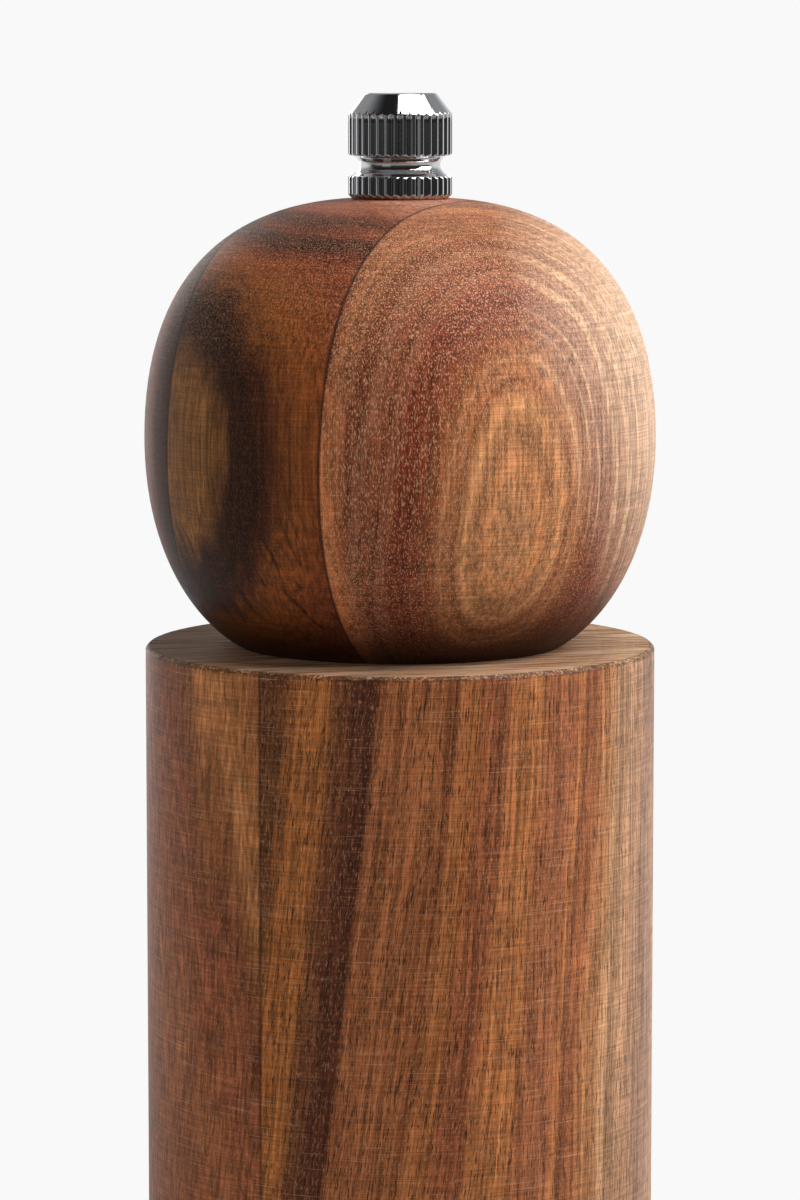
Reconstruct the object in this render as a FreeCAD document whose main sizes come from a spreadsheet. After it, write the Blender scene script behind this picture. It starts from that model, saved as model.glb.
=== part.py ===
"""Wooden pepper mill: a turned barrel, a ball head that turns on it, a knurled knob that sets the
grind, and a ceramic grinder in the foot, driven by a square shaft.

Millimetres, +Z up, origin at the middle of the foot, where the mill stands."""
import FreeCAD, Part
import math
import os
import Sketcher
from types import SimpleNamespace

# Driving sizes

SIZES = {
    # barrel
    "body_diameter": 58.0,
    "body_length": 137.5,
    "rim_chamfer": 0.4,
    "foot_chamfer": 1.2,
    "chamber_diameter": 28.0,
    "mouth_chamfer": 0.8,
    # head: a curve from its base to the equator and one on to the knob's flat seat. A fullness is
    # the share of its way along which a curve keeps close to the line it leaves by
    "head_diameter": 58.0,
    "head_height": 50.6,
    "equator_height": 23.6,
    "base_landing": 4.6,
    "base_slope": 0.54,
    "base_fullness": 0.474,
    "lower_fullness": 0.554,
    "upper_fullness": 0.653,
    "crown_fullness": 0.617,
    "crown_slope": 0.056,
    "seat_margin": 0.53,
    "spigot_length": 12.0,
    "spigot_clearance": 0.25,
    "spigot_chamfer": 0.8,
    "shaft_hole_clearance": 0.85,
    # knob, from its foot up
    "knob_diameter": 11.84,
    "knob_foot_chamfer": 0.55,
    "lower_band_height": 2.6,
    "neck_fall": 1.2,
    "neck_rise": 1.1,
    "upper_band_height": 4.65,
    "cone_height": 2.35,
    "cone_inset": 1.82,
    "neck_depth": 0.92,
    "neck_hollow": 1.5,
    "neck_round": 1.4,
    "band_ledge": 0.45,
    "band_chamfer": 0.18,
    "knurl_count": 36,
    "knurl_depth": 0.36,
    "thread_diameter": 5.0,
    "thread_clearance": 0.05,
    "thread_end_gap": 2.2,
    "knob_crown": 2.3,
    # square shaft
    "shaft_flats": 5.5,
    "shaft_edge": 0.6,
    "shaft_clearance": 0.1,
    "thread_run_out": 3.0,
    "thread_tip": 0.5,
    "journal_diameter": 4.8,
    "groove_depth": 0.5,
    "shaft_tail": 0.8,
    # drive plate and its two screws
    "plate_thickness": 1.5,
    "plate_margin": 1.2,
    "plate_edge": 0.3,
    "plate_screw_count": 2,
    "plate_screw_inset": 3.95,
    "plate_screw_diameter": 2.2,
    "plate_screw_length": 11.0,
    "pan_head_diameter": 4.6,
    "pan_head_height": 1.4,
    "pan_head_round": 0.7,
    "screw_clearance": 0.3,
    "pilot_clearance": 0.05,
    "screw_tip": 1.4,
    # grinder housing, seated in the foot
    "foot_clearance": 3.0,
    "ledge_width": 3.2,
    "flange_margin": 0.3,
    "flange_thickness": 2.2,
    "throat_height": 4.5,
    "housing_clearance": 0.15,
    "housing_wall": 1.8,
    "spoke_count": 3,
    "spoke_width": 3.2,
    "spoke_depth": 4.0,
    "spoke_ridge": 1.4,
    "spoke_drop": 0.5,
    "spoke_root": 0.6,
    "hub_wall": 1.92,
    "hub_depth": 5.5,
    "housing_screw_count": 3,
    "housing_screw_diameter": 2.6,
    "housing_screw_length": 11.0,
    "countersunk_diameter": 4.6,
    "countersunk_angle": 90.0,
    "countersunk_inset": 0.1,
    # stator burr
    "stator_height": 13.0,
    "stator_inset": 1.6,
    "stator_clearance": 0.1,
    "retainer_relief": 0.6,
    "retainer_lead": 0.4,
    "stator_wall": 3.35,
    "funnel_flare": 1.2,
    "funnel_depth": 4.0,
    "grind_flare": 1.29,
    "grind_band": 4.3,
    "stator_teeth": 24,
    "stator_groove_depth": 0.45,
    "stator_groove_width": 2.6,
    "stator_twist": 12.0,
    "key_count": 3,
    "key_diameter": 1.4,
    "key_clearance": 0.1,
    # rotor burr
    "rotor_height": 13.5,
    "rotor_inset": 0.4,
    "grind_gap": 0.35,
    "rotor_neck_wall": 1.05,
    "rotor_collar": 1.5,
    "rotor_teeth": 30,
    "rotor_groove_depth": 0.55,
    "rotor_groove_width": 1.8,
    "rotor_twist": 8.0,
    "flute_count": 7,
    "flute_depth": 1.0,
    "flute_width": 5.0,
    "flute_twist": 40.0,
    "cutter_overrun": 1.0,
    # rotor carrier, washer and clip
    "carrier_landing": 2.7,
    "carrier_flange": 2.4,
    "core_wall": 1.0,
    "core_height": 7.0,
    "core_clearance": 0.1,
    "counterbore_clearance": 0.3,
    "counterbore_floor": 0.8,
    "washer_margin": 0.85,
    "washer_thickness": 0.5,
    "clip_play": 0.7,
    "clip_thickness": 0.6,
    "clip_band": 1.1,
    "clip_lugs": 3,
    "clip_lug_width": 1.6,
    "clip_mouth": 2.4,
    "clip_clearance": 0.05,
    # bush and spring
    "bush_wall": 1.0,
    "bush_clearance": 0.05,
    "bush_flange": 1.0,
    "bush_flange_width": 1.2,
    "bush_stand_out": 0.3,
    "spring_wire": 0.9,
    "spring_turns": 5,
    "spring_play": 0.4,
    "spring_well_clearance": 0.6,
    "spring_seat_gap": 0.03,
}

doc = FreeCAD.newDocument("pepper_mill")
sheet = doc.addObject("Spreadsheet::Sheet", "sizes")
for row, (alias, number) in enumerate(SIZES.items(), start=1):
    sheet.set(f"A{row}", alias)
    sheet.set(f"B{row}", str(number))
    sheet.setAlias(f"B{row}", alias)
doc.recompute()


class Size:
    """A size known both as a number and as the sheet expression that gives it."""

    def __init__(self, value, text):
        self.value = value
        self.text = text

    def __add__(self, other):
        return Size(self.value + value_of(other), f"({self.text} + {text_of(other)})")

    def __sub__(self, other):
        return Size(self.value - value_of(other), f"({self.text} - {text_of(other)})")

    def __mul__(self, other):
        return Size(self.value * value_of(other), f"({self.text} * {text_of(other)})")

    def __truediv__(self, other):
        return Size(self.value / value_of(other), f"({self.text} / {text_of(other)})")

    def __neg__(self):
        return Size(-self.value, f"(0 - {self.text})")


def value_of(given):
    return given.value if isinstance(given, Size) else given


def text_of(given):
    return given.text if isinstance(given, Size) else repr(given)


def larger(one, other):
    return Size(max(one.value, other.value), f"max({one.text}; {other.text})")


size = SimpleNamespace(**{alias: Size(float(sheet.get(alias)), f"sizes.{alias}") for alias in SIZES})

# Radii and heights that several pieces share

body_radius = size.body_diameter / 2
chamber_radius = size.chamber_diameter / 2
spigot_radius = chamber_radius - size.spigot_clearance
shaft_half = size.shaft_flats / 2
shaft_corner = (size.shaft_flats - size.shaft_edge) / math.sqrt(2)
shaft_hole_radius = shaft_corner + size.shaft_hole_clearance
square_hole_half = shaft_half + size.shaft_clearance
square_hole_corner = square_hole_half * math.sqrt(2)
thread_radius = size.thread_diameter / 2
journal_radius = size.journal_diameter / 2
groove_radius = journal_radius - size.groove_depth
knob_radius = size.knob_diameter / 2
plate_radius = spigot_radius - size.plate_margin
plate_screw_radius = plate_radius - size.plate_screw_inset

flange_width = size.countersunk_diameter + size.flange_margin * 2
recess_radius = chamber_radius + size.ledge_width
flange_recess_radius = recess_radius + flange_width
housing_screw_radius = recess_radius + flange_width / 2
housing_radius = recess_radius - size.housing_clearance
pocket_radius = housing_radius - size.housing_wall
stator_radius = pocket_radius - size.stator_clearance
waist_radius = stator_radius - size.stator_wall
throat_radius = waist_radius + size.funnel_flare
rotor_band_radius = waist_radius - size.grind_gap
bush_radius = square_hole_corner + size.bush_wall
hub_bore_radius = bush_radius + size.bush_clearance
spring_radius = shaft_corner + size.spring_play + size.spring_wire / 2
spring_well_radius = spring_radius + size.spring_wire / 2 + size.spring_well_clearance
core_flats = (square_hole_corner + size.core_wall) * 2
washer_radius = shaft_corner + size.washer_margin
clip_inner_radius = journal_radius + size.clip_play
clip_radius = clip_inner_radius + size.clip_band
counterbore_radius = larger(washer_radius, clip_radius) + size.counterbore_clearance

neck_height = size.lower_band_height + size.neck_fall
upper_band_floor = neck_height + size.neck_rise
cone_floor = upper_band_floor + size.upper_band_height
knob_height = cone_floor + size.cone_height
knob_bore_depth = knob_height - size.knob_crown

flange_seat = size.foot_clearance + size.flange_thickness
stator_floor = size.foot_clearance + size.stator_inset
rotor_floor = stator_floor + size.rotor_inset
spring_floor = rotor_floor + size.core_height
bush_floor = rotor_floor + size.rotor_height + size.throat_height
hub_floor = bush_floor + size.bush_flange
recess_top = hub_floor + size.hub_depth
housing_height = recess_top - size.foot_clearance
carrier_floor = rotor_floor - size.carrier_flange
square_floor = rotor_floor - size.counterbore_floor
washer_floor = square_floor - size.washer_thickness
clip_floor = washer_floor - size.clip_thickness
shaft_floor = clip_floor - size.shaft_tail
head_floor = size.body_length - size.spigot_length
plate_floor = head_floor - size.plate_thickness
knob_floor = size.body_length + size.head_height
shaft_top = knob_floor + knob_bore_depth - size.thread_end_gap


# Sketches and features

def origin_feature(body, role):
    return next(feature for feature in body.Origin.OriginFeatures if feature.Role == role)


def new_piece(label, floor=None):
    """Starts a piece in its own frame, with its lowest face at the height of floor."""
    body = doc.addObject("PartDesign::Body", label)
    body.Label = label
    if floor is not None:
        body.setExpression("Placement.Base.z", floor.text)
    return body


def new_sketch(body, name, plane="XY_Plane", lift=None, twist=None):
    """Adds a sketch on an origin plane, lifted along its normal and turned in its plane."""
    sketch = body.newObject("Sketcher::SketchObject", name)
    sketch.AttachmentSupport = [(origin_feature(body, plane), "")]
    sketch.MapMode = "FlatFace"
    if lift is not None:
        sketch.setExpression("AttachmentOffset.Base.z", lift.text)
    if twist is not None:
        turned = FreeCAD.Rotation(FreeCAD.Vector(0, 0, 1), twist.value)
        sketch.AttachmentOffset = FreeCAD.Placement(FreeCAD.Vector(), turned)
        sketch.setExpression("AttachmentOffset.Rotation.Angle", twist.text)
    return sketch


def bind(sketch, constraint, given):
    """Adds a dimension and ties it to the sheet."""
    datum = sketch.addConstraint(constraint)
    sketch.setExpression(f"Constraints[{datum}]", given.text)


def pin(sketch, edge, end, x, y):
    """Holds one end of an edge at (x, y), where a plain 0 puts it on the axis itself."""
    for kind, axis, place in (("DistanceX", -2, x), ("DistanceY", -1, y)):
        if isinstance(place, Size):
            bind(sketch, Sketcher.Constraint(kind, -1, 1, edge, end, place.value), place)
        else:
            sketch.addConstraint(Sketcher.Constraint("PointOnObject", edge, end, axis))


def arc_between(start, end, radius, side):
    """An arc of under half a turn, centred to the left of the way (side 1) or to the right (-1)."""
    chord = end - start
    left = FreeCAD.Vector(-chord.y, chord.x, 0).normalize()
    centre = (start + end) / 2 + left * side * math.sqrt(radius**2 - chord.Length**2 / 4)
    angles = [math.atan2(point.y - centre.y, point.x - centre.x) for point in (start, end)][::side]
    return Part.ArcOfCircle(Part.Circle(centre, FreeCAD.Vector(0, 0, 1), radius), *angles)


def place(point):
    return FreeCAD.Vector(value_of(point[0]), value_of(point[1]), 0)


def curve(sketch, start, poles, end):
    """Draws a cubic curve and holds the two poles that draw it out between its ends."""
    shape = Part.BSplineCurve([start, *(place(pole) for pole in poles), end], None, None, False, 3)
    edge = sketch.addGeometry(shape, False)
    for index, pole in enumerate(poles, start=1):
        mark = sketch.addGeometry(Part.Circle(place(pole), FreeCAD.Vector(0, 0, 1), 1), True)
        alignment = "InternalAlignment:Sketcher::BSplineControlPoint"
        sketch.addConstraint(Sketcher.Constraint(alignment, mark, 3, edge, index))
        sketch.addConstraint(Sketcher.Constraint("Weight", mark, 1.0))
        pin(sketch, mark, 3, *pole)
    return edge


def outline(sketch, points):
    """Draws a closed outline. A point (x, y) is reached by a straight edge, a point
    (x, y, radius, side) by an arc, as arc_between describes it, and a point (x, y, pole, pole) by a
    cubic curve."""
    edges = []
    for before, point in zip([points[-1]] + points[:-1], points):
        start = place(before)
        end = place(point)
        if len(point) == 2:
            edges.append((sketch.addGeometry(Part.LineSegment(start, end), False), 1, 2))
        elif isinstance(point[2], tuple):
            edges.append((curve(sketch, start, point[2:], end), 1, 2))
        else:
            radius, side = point[2:]
            edge = sketch.addGeometry(arc_between(start, end, radius.value, side), False)
            bind(sketch, Sketcher.Constraint("Radius", edge, radius.value), radius)
            edges.append((edge, 1, 2) if side > 0 else (edge, 2, 1))
    for (edge, _, last), (following, first, _), point in zip(edges, edges[1:] + edges[:1], points):
        sketch.addConstraint(Sketcher.Constraint("Coincident", edge, last, following, first))
        pin(sketch, edge, last, point[0], point[1])


def box_outline(sketch, left, right, half_width):
    outline(sketch, [(left, -half_width), (right, -half_width), (right, half_width), (left, half_width)])


def circle(sketch, x, y, diameter):
    ring = sketch.addGeometry(Part.Circle(place((x, y)), FreeCAD.Vector(0, 0, 1), diameter.value / 2), False)
    pin(sketch, ring, 3, x, y)
    bind(sketch, Sketcher.Constraint("Diameter", ring, diameter.value), diameter)


def revolve(body, name, sketch, axis="V_Axis"):
    turned = body.newObject("PartDesign::Revolution", name)
    turned.Profile = sketch
    turned.ReferenceAxis = (sketch, [axis])
    turned.Angle = 360
    return turned


def lathe(body, name, points):
    """Turns an outline of (radius, height) points about the piece's axis."""
    sketch = new_sketch(body, f"{name}_profile", "XZ_Plane")
    outline(sketch, points)
    return revolve(body, name, sketch)


def lathe_beside(body, name, offset, points):
    """Turns an outline about an upright line that stands off from the piece's axis."""
    sketch = new_sketch(body, f"{name}_profile", "XZ_Plane")
    foot = FreeCAD.Vector(offset.value, 0, 0)
    line = sketch.addGeometry(Part.LineSegment(foot, foot + FreeCAD.Vector(0, 1, 0)), True)
    sketch.addConstraint(Sketcher.Constraint("Vertical", line))
    pin(sketch, line, 1, offset, 0)
    outline(sketch, [(offset + point[0], *point[1:]) for point in points])
    return revolve(body, name, sketch, "Axis0")


def pad(body, name, sketch, length):
    raised = body.newObject("PartDesign::Pad", name)
    raised.Profile = sketch
    raised.setExpression("Length", length.text)
    return raised


def pocket(body, name, sketch, depth=None):
    """Cuts upwards from a sketch, to a depth or through everything above it."""
    doc.recompute()
    before = body.Shape.Volume
    cut = body.newObject("PartDesign::Pocket", name)
    cut.Profile = sketch
    cut.Reversed = True
    if depth is None:
        cut.Type = "ThroughAll"
    else:
        cut.setExpression("Length", depth.text)
    doc.recompute()
    if body.Shape.Volume >= before:
        raise ValueError(f"{name} cuts nothing out of {body.Label}")
    return cut


def repeat(body, feature, count):
    """Repeats a feature evenly about the piece's axis."""
    pattern = body.newObject("PartDesign::PolarPattern", f"{feature.Name}_pattern")
    pattern.Originals = [feature]
    pattern.Axis = (origin_feature(body, "Z_Axis"), [""])
    pattern.Angle = 360
    pattern.setExpression("Occurrences", count.text)
    body.Tip = pattern
    return pattern


def square_hole(body, name):
    """Cuts the hole for the square shaft through a piece, from its lowest face up."""
    sketch = new_sketch(body, f"{name}_outline")
    box_outline(sketch, -square_hole_half, square_hole_half, square_hole_half)
    pocket(body, name, sketch)


def groove_section(body, name, lift, tip, mouth, width, twist=None):
    """A V-shaped section: its tip at one radius, and its mouth, of a given width, at another."""
    sketch = new_sketch(body, name, "XY_Plane", lift, twist)
    outline(sketch, [(tip, 0), (mouth, width / 2), (mouth, -width / 2)])
    return sketch


def slanted_grooves(body, name, low, high, count):
    """Cuts V-grooves from the low section to the high one, evenly about the axis."""
    cut = body.newObject("PartDesign::SubtractiveLoft", name)
    cut.Profile = low
    cut.Sections = [high]
    cut.Ruled = True
    repeat(body, cut, count)


# Turned wood

def make_barrel():
    """Straight barrel with the pepper chamber, and a stepped recess for the grinder in its foot."""
    barrel = new_piece("barrel")
    lathe(barrel, "barrel_turning", [
        (flange_recess_radius, 0),
        (body_radius - size.foot_chamfer, 0),
        (body_radius, size.foot_chamfer),
        (body_radius, size.body_length - size.rim_chamfer),
        (body_radius - size.rim_chamfer, size.body_length),
        (chamber_radius + size.mouth_chamfer, size.body_length),
        (chamber_radius, size.body_length - size.mouth_chamfer),
        (chamber_radius, recess_top),
        (recess_radius, recess_top),
        (recess_radius, flange_seat),
        (flange_recess_radius, flange_seat),
    ])
    pilot = new_sketch(barrel, "flange_pilot", lift=flange_seat)
    circle(pilot, housing_screw_radius, 0, size.housing_screw_diameter + size.pilot_clearance * 2)
    hole = pocket(barrel, "flange_pilot_hole", pilot, size.housing_screw_length)
    repeat(barrel, hole, size.housing_screw_count)
    return barrel


def make_head():
    """Ball head with the spigot that centres it in the barrel's mouth. Its curves leave the equator
    upright, and the upper one runs out almost level at the knob's seat."""
    head = new_piece("head", head_floor)
    base = size.spigot_length
    equator = base + size.equator_height
    seat = base + size.head_height
    ball_radius = size.head_diameter / 2
    base_radius = spigot_radius + size.base_landing
    seat_radius = knob_radius - size.knob_foot_chamfer + size.seat_margin
    base_reach = (ball_radius - base_radius) * size.base_fullness
    crown_reach = (ball_radius - seat_radius) * size.crown_fullness
    lathe(head, "head_turning", [
        (shaft_hole_radius, 0),
        (spigot_radius - size.spigot_chamfer, 0),
        (spigot_radius, size.spigot_chamfer),
        (spigot_radius, base),
        (base_radius, base),
        (
            ball_radius, equator,
            (base_radius + base_reach, base + base_reach * size.base_slope),
            (ball_radius, equator - size.equator_height * size.lower_fullness),
        ),
        (
            seat_radius, seat,
            (ball_radius, equator + (seat - equator) * size.upper_fullness),
            (seat_radius + crown_reach, seat - crown_reach * size.crown_slope),
        ),
        (shaft_hole_radius, seat),
    ])
    pilot = new_sketch(head, "plate_pilot")
    circle(pilot, plate_screw_radius, 0, size.plate_screw_diameter + size.pilot_clearance * 2)
    hole = pocket(head, "plate_pilot_hole", pilot, size.plate_screw_length)
    repeat(head, hole, size.plate_screw_count)
    return head


def make_knob():
    """Turned knob with two knurled bands, a neck between them and a cone up to its flat top. It is
    screwed on the shaft's thread."""
    knob = new_piece("finial_knob", knob_floor)
    ledge = knob_radius - size.band_ledge
    bore = thread_radius + size.thread_clearance
    lathe(knob, "knob_turning", [
        (bore, 0),
        (knob_radius - size.knob_foot_chamfer, 0),
        (knob_radius, size.knob_foot_chamfer),
        (knob_radius, size.lower_band_height - size.band_chamfer),
        (knob_radius - size.band_chamfer, size.lower_band_height),
        (ledge, size.lower_band_height),
        (ledge - size.neck_depth, neck_height, size.neck_hollow, -1),
        (ledge, upper_band_floor, size.neck_round, 1),
        (knob_radius - size.band_chamfer, upper_band_floor),
        (knob_radius, upper_band_floor + size.band_chamfer),
        (knob_radius, cone_floor),
        (knob_radius - size.cone_inset, knob_height),
        (0, knob_height),
        (0, knob_bore_depth),
        (bore, knob_bore_depth),
    ])
    # a right-angled valley is twice as wide as it is deep
    depth = size.knurl_depth + size.cutter_overrun
    valley = groove_section(knob, "knurl_section", None, knob_radius - size.knurl_depth,
                            knob_radius + size.cutter_overrun, depth * 2)
    repeat(knob, pocket(knob, "knurl", valley), size.knurl_count)
    return knob


# Shaft and drive plate

def make_shaft():
    """Square bar with a turned thread end for the knob and a grooved journal for the clip."""
    shaft = new_piece("shaft", shaft_floor)
    bar_floor = square_floor - shaft_floor
    bar_top = knob_floor - size.thread_run_out - shaft_floor
    tip = shaft_top - shaft_floor
    flat = shaft_half - size.shaft_edge
    bar = new_sketch(shaft, "bar_outline", lift=bar_floor)
    outline(bar, [
        (shaft_half, -flat),
        (shaft_half, flat),
        (flat, shaft_half),
        (-flat, shaft_half),
        (-shaft_half, flat),
        (-shaft_half, -flat),
        (-flat, -shaft_half),
        (flat, -shaft_half),
    ])
    pad(shaft, "bar", bar, bar_top - bar_floor)
    lathe(shaft, "thread_end", [
        (0, bar_top),
        (thread_radius, bar_top),
        (thread_radius, tip - size.thread_tip),
        (thread_radius - size.thread_tip, tip),
        (0, tip),
    ])
    lathe(shaft, "journal", [
        (0, 0),
        (journal_radius, 0),
        (journal_radius, size.shaft_tail),
        (groove_radius, size.shaft_tail),
        (groove_radius, size.shaft_tail + size.clip_thickness),
        (journal_radius, size.shaft_tail + size.clip_thickness),
        (journal_radius, bar_floor),
        (0, bar_floor),
    ])
    return shaft


def make_drive_plate():
    """Plate under the spigot, whose square hole takes the shaft along with the head."""
    plate = new_piece("drive_plate", plate_floor)
    lathe(plate, "plate_disc", [
        (0, 0),
        (plate_radius - size.plate_edge, 0),
        (plate_radius, size.plate_edge),
        (plate_radius, size.plate_thickness - size.plate_edge),
        (plate_radius - size.plate_edge, size.plate_thickness),
        (0, size.plate_thickness),
    ])
    square_hole(plate, "shaft_square")
    sketch = new_sketch(plate, "screw_hole_outline")
    circle(sketch, plate_screw_radius, 0, size.plate_screw_diameter + size.screw_clearance * 2)
    repeat(plate, pocket(plate, "screw_hole", sketch), size.plate_screw_count)
    return plate


def make_plate_screws():
    """Pan-head screws, driven up into the spigot. Each ends short of its pilot hole."""
    screws = new_piece("drive_plate_screws", plate_floor - size.pan_head_height)
    pan = size.pan_head_diameter / 2
    core = size.plate_screw_diameter / 2
    end = size.pan_head_height + size.plate_screw_length
    screw = lathe_beside(screws, "pan_screw", plate_screw_radius, [
        (0, 0),
        (pan - size.pan_head_round, 0),
        (pan, size.pan_head_round, size.pan_head_round, 1),
        (pan, size.pan_head_height),
        (core, size.pan_head_height),
        (core, end - size.screw_tip),
        (0, end),
    ])
    repeat(screws, screw, size.plate_screw_count)
    return screws


# Grinder

def make_housing():
    """Moulded housing with a screwed flange, a pocket for the stator, and spokes that carry the hub
    over the throat."""
    housing = new_piece("grinder_housing", size.foot_clearance)
    flange = flange_recess_radius - size.housing_clearance
    shoulder = size.stator_inset + size.stator_height
    lathe(housing, "housing_shell", [
        (pocket_radius, 0),
        (flange, 0),
        (flange, size.flange_thickness),
        (housing_radius, size.flange_thickness),
        (housing_radius, housing_height),
        (throat_radius, housing_height),
        (throat_radius, shoulder),
        (pocket_radius, shoulder),
    ])
    hub = hub_bore_radius + size.hub_wall
    top = housing_height
    hub_low = top - size.hub_depth
    lathe(housing, "hub", [(0, hub_low), (hub, hub_low), (hub, top), (0, top)])
    side = size.spoke_width / 2
    under = top - size.spoke_depth
    ridge = top - size.spoke_drop
    eaves = ridge - size.spoke_ridge
    root = hub - size.spoke_root
    section = new_sketch(housing, "spoke_section", "YZ_Plane", lift=root)
    outline(section, [(-side, under), (side, under), (side, eaves), (0, ridge), (-side, eaves)])
    spoke = pad(housing, "spoke", section, throat_radius + size.spoke_root - root)
    repeat(housing, spoke, size.spoke_count)
    bore = new_sketch(housing, "hub_bore_outline")
    circle(bore, 0, 0, hub_bore_radius * 2)
    pocket(housing, "hub_bore", bore)
    key = new_sketch(housing, "key_outline", lift=size.stator_inset)
    circle(key, pocket_radius, 0, size.key_diameter)
    repeat(housing, pad(housing, "key", key, size.stator_height), size.key_count)
    screw = new_sketch(housing, "flange_hole_outline")
    circle(screw, housing_screw_radius, 0, size.housing_screw_diameter + size.pilot_clearance * 2)
    doc.recompute()
    hole = housing.newObject("PartDesign::Hole", "flange_hole")
    hole.Profile = screw
    hole.Reversed = True
    hole.DepthType = "ThroughAll"
    hole.HoleCutType = "Countersink"
    hole.setExpression("Diameter", (size.housing_screw_diameter + size.pilot_clearance * 2).text)
    mouth = size.countersunk_diameter + (size.countersunk_inset + size.pilot_clearance) * 2
    hole.setExpression("HoleCutDiameter", mouth.text)
    hole.setExpression("HoleCutCountersinkAngle", size.countersunk_angle.text)
    repeat(housing, hole, size.housing_screw_count)
    return housing


def make_housing_screws():
    """Countersunk screws that hold the flange in the foot."""
    screws = new_piece("housing_screws", size.foot_clearance + size.countersunk_inset)
    top = size.countersunk_diameter / 2
    core = size.housing_screw_diameter / 2
    screw = lathe_beside(screws, "countersunk_screw", housing_screw_radius, [
        (0, 0),
        (top, 0),
        (core, top - core),
        (core, size.housing_screw_length - size.screw_tip),
        (0, size.housing_screw_length),
    ])
    repeat(screws, screw, size.housing_screw_count)
    return screws


def make_stator():
    """Fixed ring: a funnel at the top, a waist, and a grinding band that widens downwards."""
    stator = new_piece("stator_burr", stator_floor)
    lathe(stator, "stator_ring", [
        (waist_radius + size.grind_flare, 0),
        (stator_radius, 0),
        (stator_radius, size.stator_height),
        (throat_radius, size.stator_height),
        (waist_radius, size.stator_height - size.funnel_depth),
        (waist_radius, size.grind_band),
    ])
    tip = waist_radius + size.grind_flare + size.stator_groove_depth
    mouth = waist_radius - size.cutter_overrun
    low = groove_section(stator, "groove_low", -size.cutter_overrun, tip, mouth, size.stator_groove_width)
    high = groove_section(
        stator, "groove_high", size.stator_height + size.cutter_overrun, tip, mouth, size.stator_groove_width,
        size.stator_twist,
    )
    slanted_grooves(stator, "stator_groove", low, high, size.stator_teeth)
    notch = new_sketch(stator, "key_notch_outline")
    circle(notch, pocket_radius, 0, size.key_diameter + size.key_clearance * 2)
    repeat(stator, pocket(stator, "key_notch", notch), size.key_count)
    return stator


def make_retainer():
    """Ring pushed into the pocket below the stator, to keep it there."""
    retainer = new_piece("stator_retainer", size.foot_clearance)
    inner = waist_radius + size.grind_flare + size.retainer_relief
    lathe(retainer, "retainer_ring", [
        (inner, 0),
        (stator_radius - size.retainer_lead, 0),
        (stator_radius, size.retainer_lead),
        (stator_radius, size.stator_inset),
        (inner, size.stator_inset),
    ])
    return retainer


def make_rotor():
    """Turning cone: coarse flutes that draw the corns in, and fine teeth round its grinding band."""
    rotor = new_piece("rotor_burr", rotor_floor)
    slope = size.grind_flare / size.grind_band
    band_top = size.grind_band - size.rotor_inset
    foot = rotor_band_radius + slope * band_top
    top = spring_well_radius + size.rotor_neck_wall + size.flute_depth
    lathe(rotor, "rotor_cone", [
        (0, 0),
        (foot, 0),
        (rotor_band_radius, band_top),
        (top, size.rotor_height - size.rotor_collar),
        (top, size.rotor_height),
        (0, size.rotor_height),
    ])
    reach = size.cutter_overrun
    slanted_grooves(
        rotor, "flute",
        groove_section(rotor, "flute_low", band_top, rotor_band_radius - size.flute_depth,
                       rotor_band_radius + reach, size.flute_width),
        groove_section(rotor, "flute_high", size.rotor_height + reach, top - size.flute_depth,
                       top + reach * 2, size.flute_width, -size.flute_twist),
        size.flute_count,
    )
    low_tip = foot + slope * reach - size.rotor_groove_depth
    high_tip = rotor_band_radius - slope * reach - size.rotor_groove_depth
    slanted_grooves(
        rotor, "tooth_groove",
        groove_section(rotor, "tooth_low", -reach, low_tip, low_tip + reach, size.rotor_groove_width),
        groove_section(rotor, "tooth_high", band_top + reach, high_tip, high_tip + reach,
                       size.rotor_groove_width, -size.rotor_twist),
        size.rotor_teeth,
    )
    hexagon = new_sketch(rotor, "core_hole_outline")
    hexagon_outline(hexagon, core_flats + size.core_clearance * 2)
    pocket(rotor, "core_hole", hexagon, size.core_height)
    well = new_sketch(rotor, "spring_well_outline", lift=size.core_height)
    circle(well, 0, 0, spring_well_radius * 2)
    pocket(rotor, "spring_well", well)
    return rotor


def hexagon_outline(sketch, flats):
    """A regular hexagon, given across its flats."""
    side = flats / 2
    corner = flats / math.sqrt(3)
    outline(sketch, [
        (corner, 0),
        (corner / 2, side),
        (-corner / 2, side),
        (-corner, 0),
        (-corner / 2, -side),
        (corner / 2, -side),
    ])


def make_carrier():
    """Moulded carrier: a flange under the rotor, a hexagonal core inside it, and the square hole."""
    carrier = new_piece("rotor_carrier", carrier_floor)
    rim = core_flats / math.sqrt(3) + size.carrier_landing
    thick = size.carrier_flange
    lathe(carrier, "carrier_disc", [(0, 0), (rim, 0), (rim, thick), (0, thick)])
    core = new_sketch(carrier, "core_outline", lift=thick)
    hexagon_outline(core, core_flats)
    pad(carrier, "core", core, size.core_height)
    counterbore = new_sketch(carrier, "counterbore_outline")
    circle(counterbore, 0, 0, counterbore_radius * 2)
    pocket(carrier, "counterbore", counterbore, size.carrier_flange - size.counterbore_floor)
    square_hole(carrier, "shaft_square")
    return carrier


def make_washer():
    """Washer in the carrier's counterbore, between the carrier and the clip."""
    washer = new_piece("clip_washer", washer_floor)
    inner = journal_radius + size.shaft_clearance
    thick = size.washer_thickness
    lathe(washer, "washer_ring", [(inner, 0), (washer_radius, 0), (washer_radius, thick), (inner, thick)])
    return washer


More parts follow.
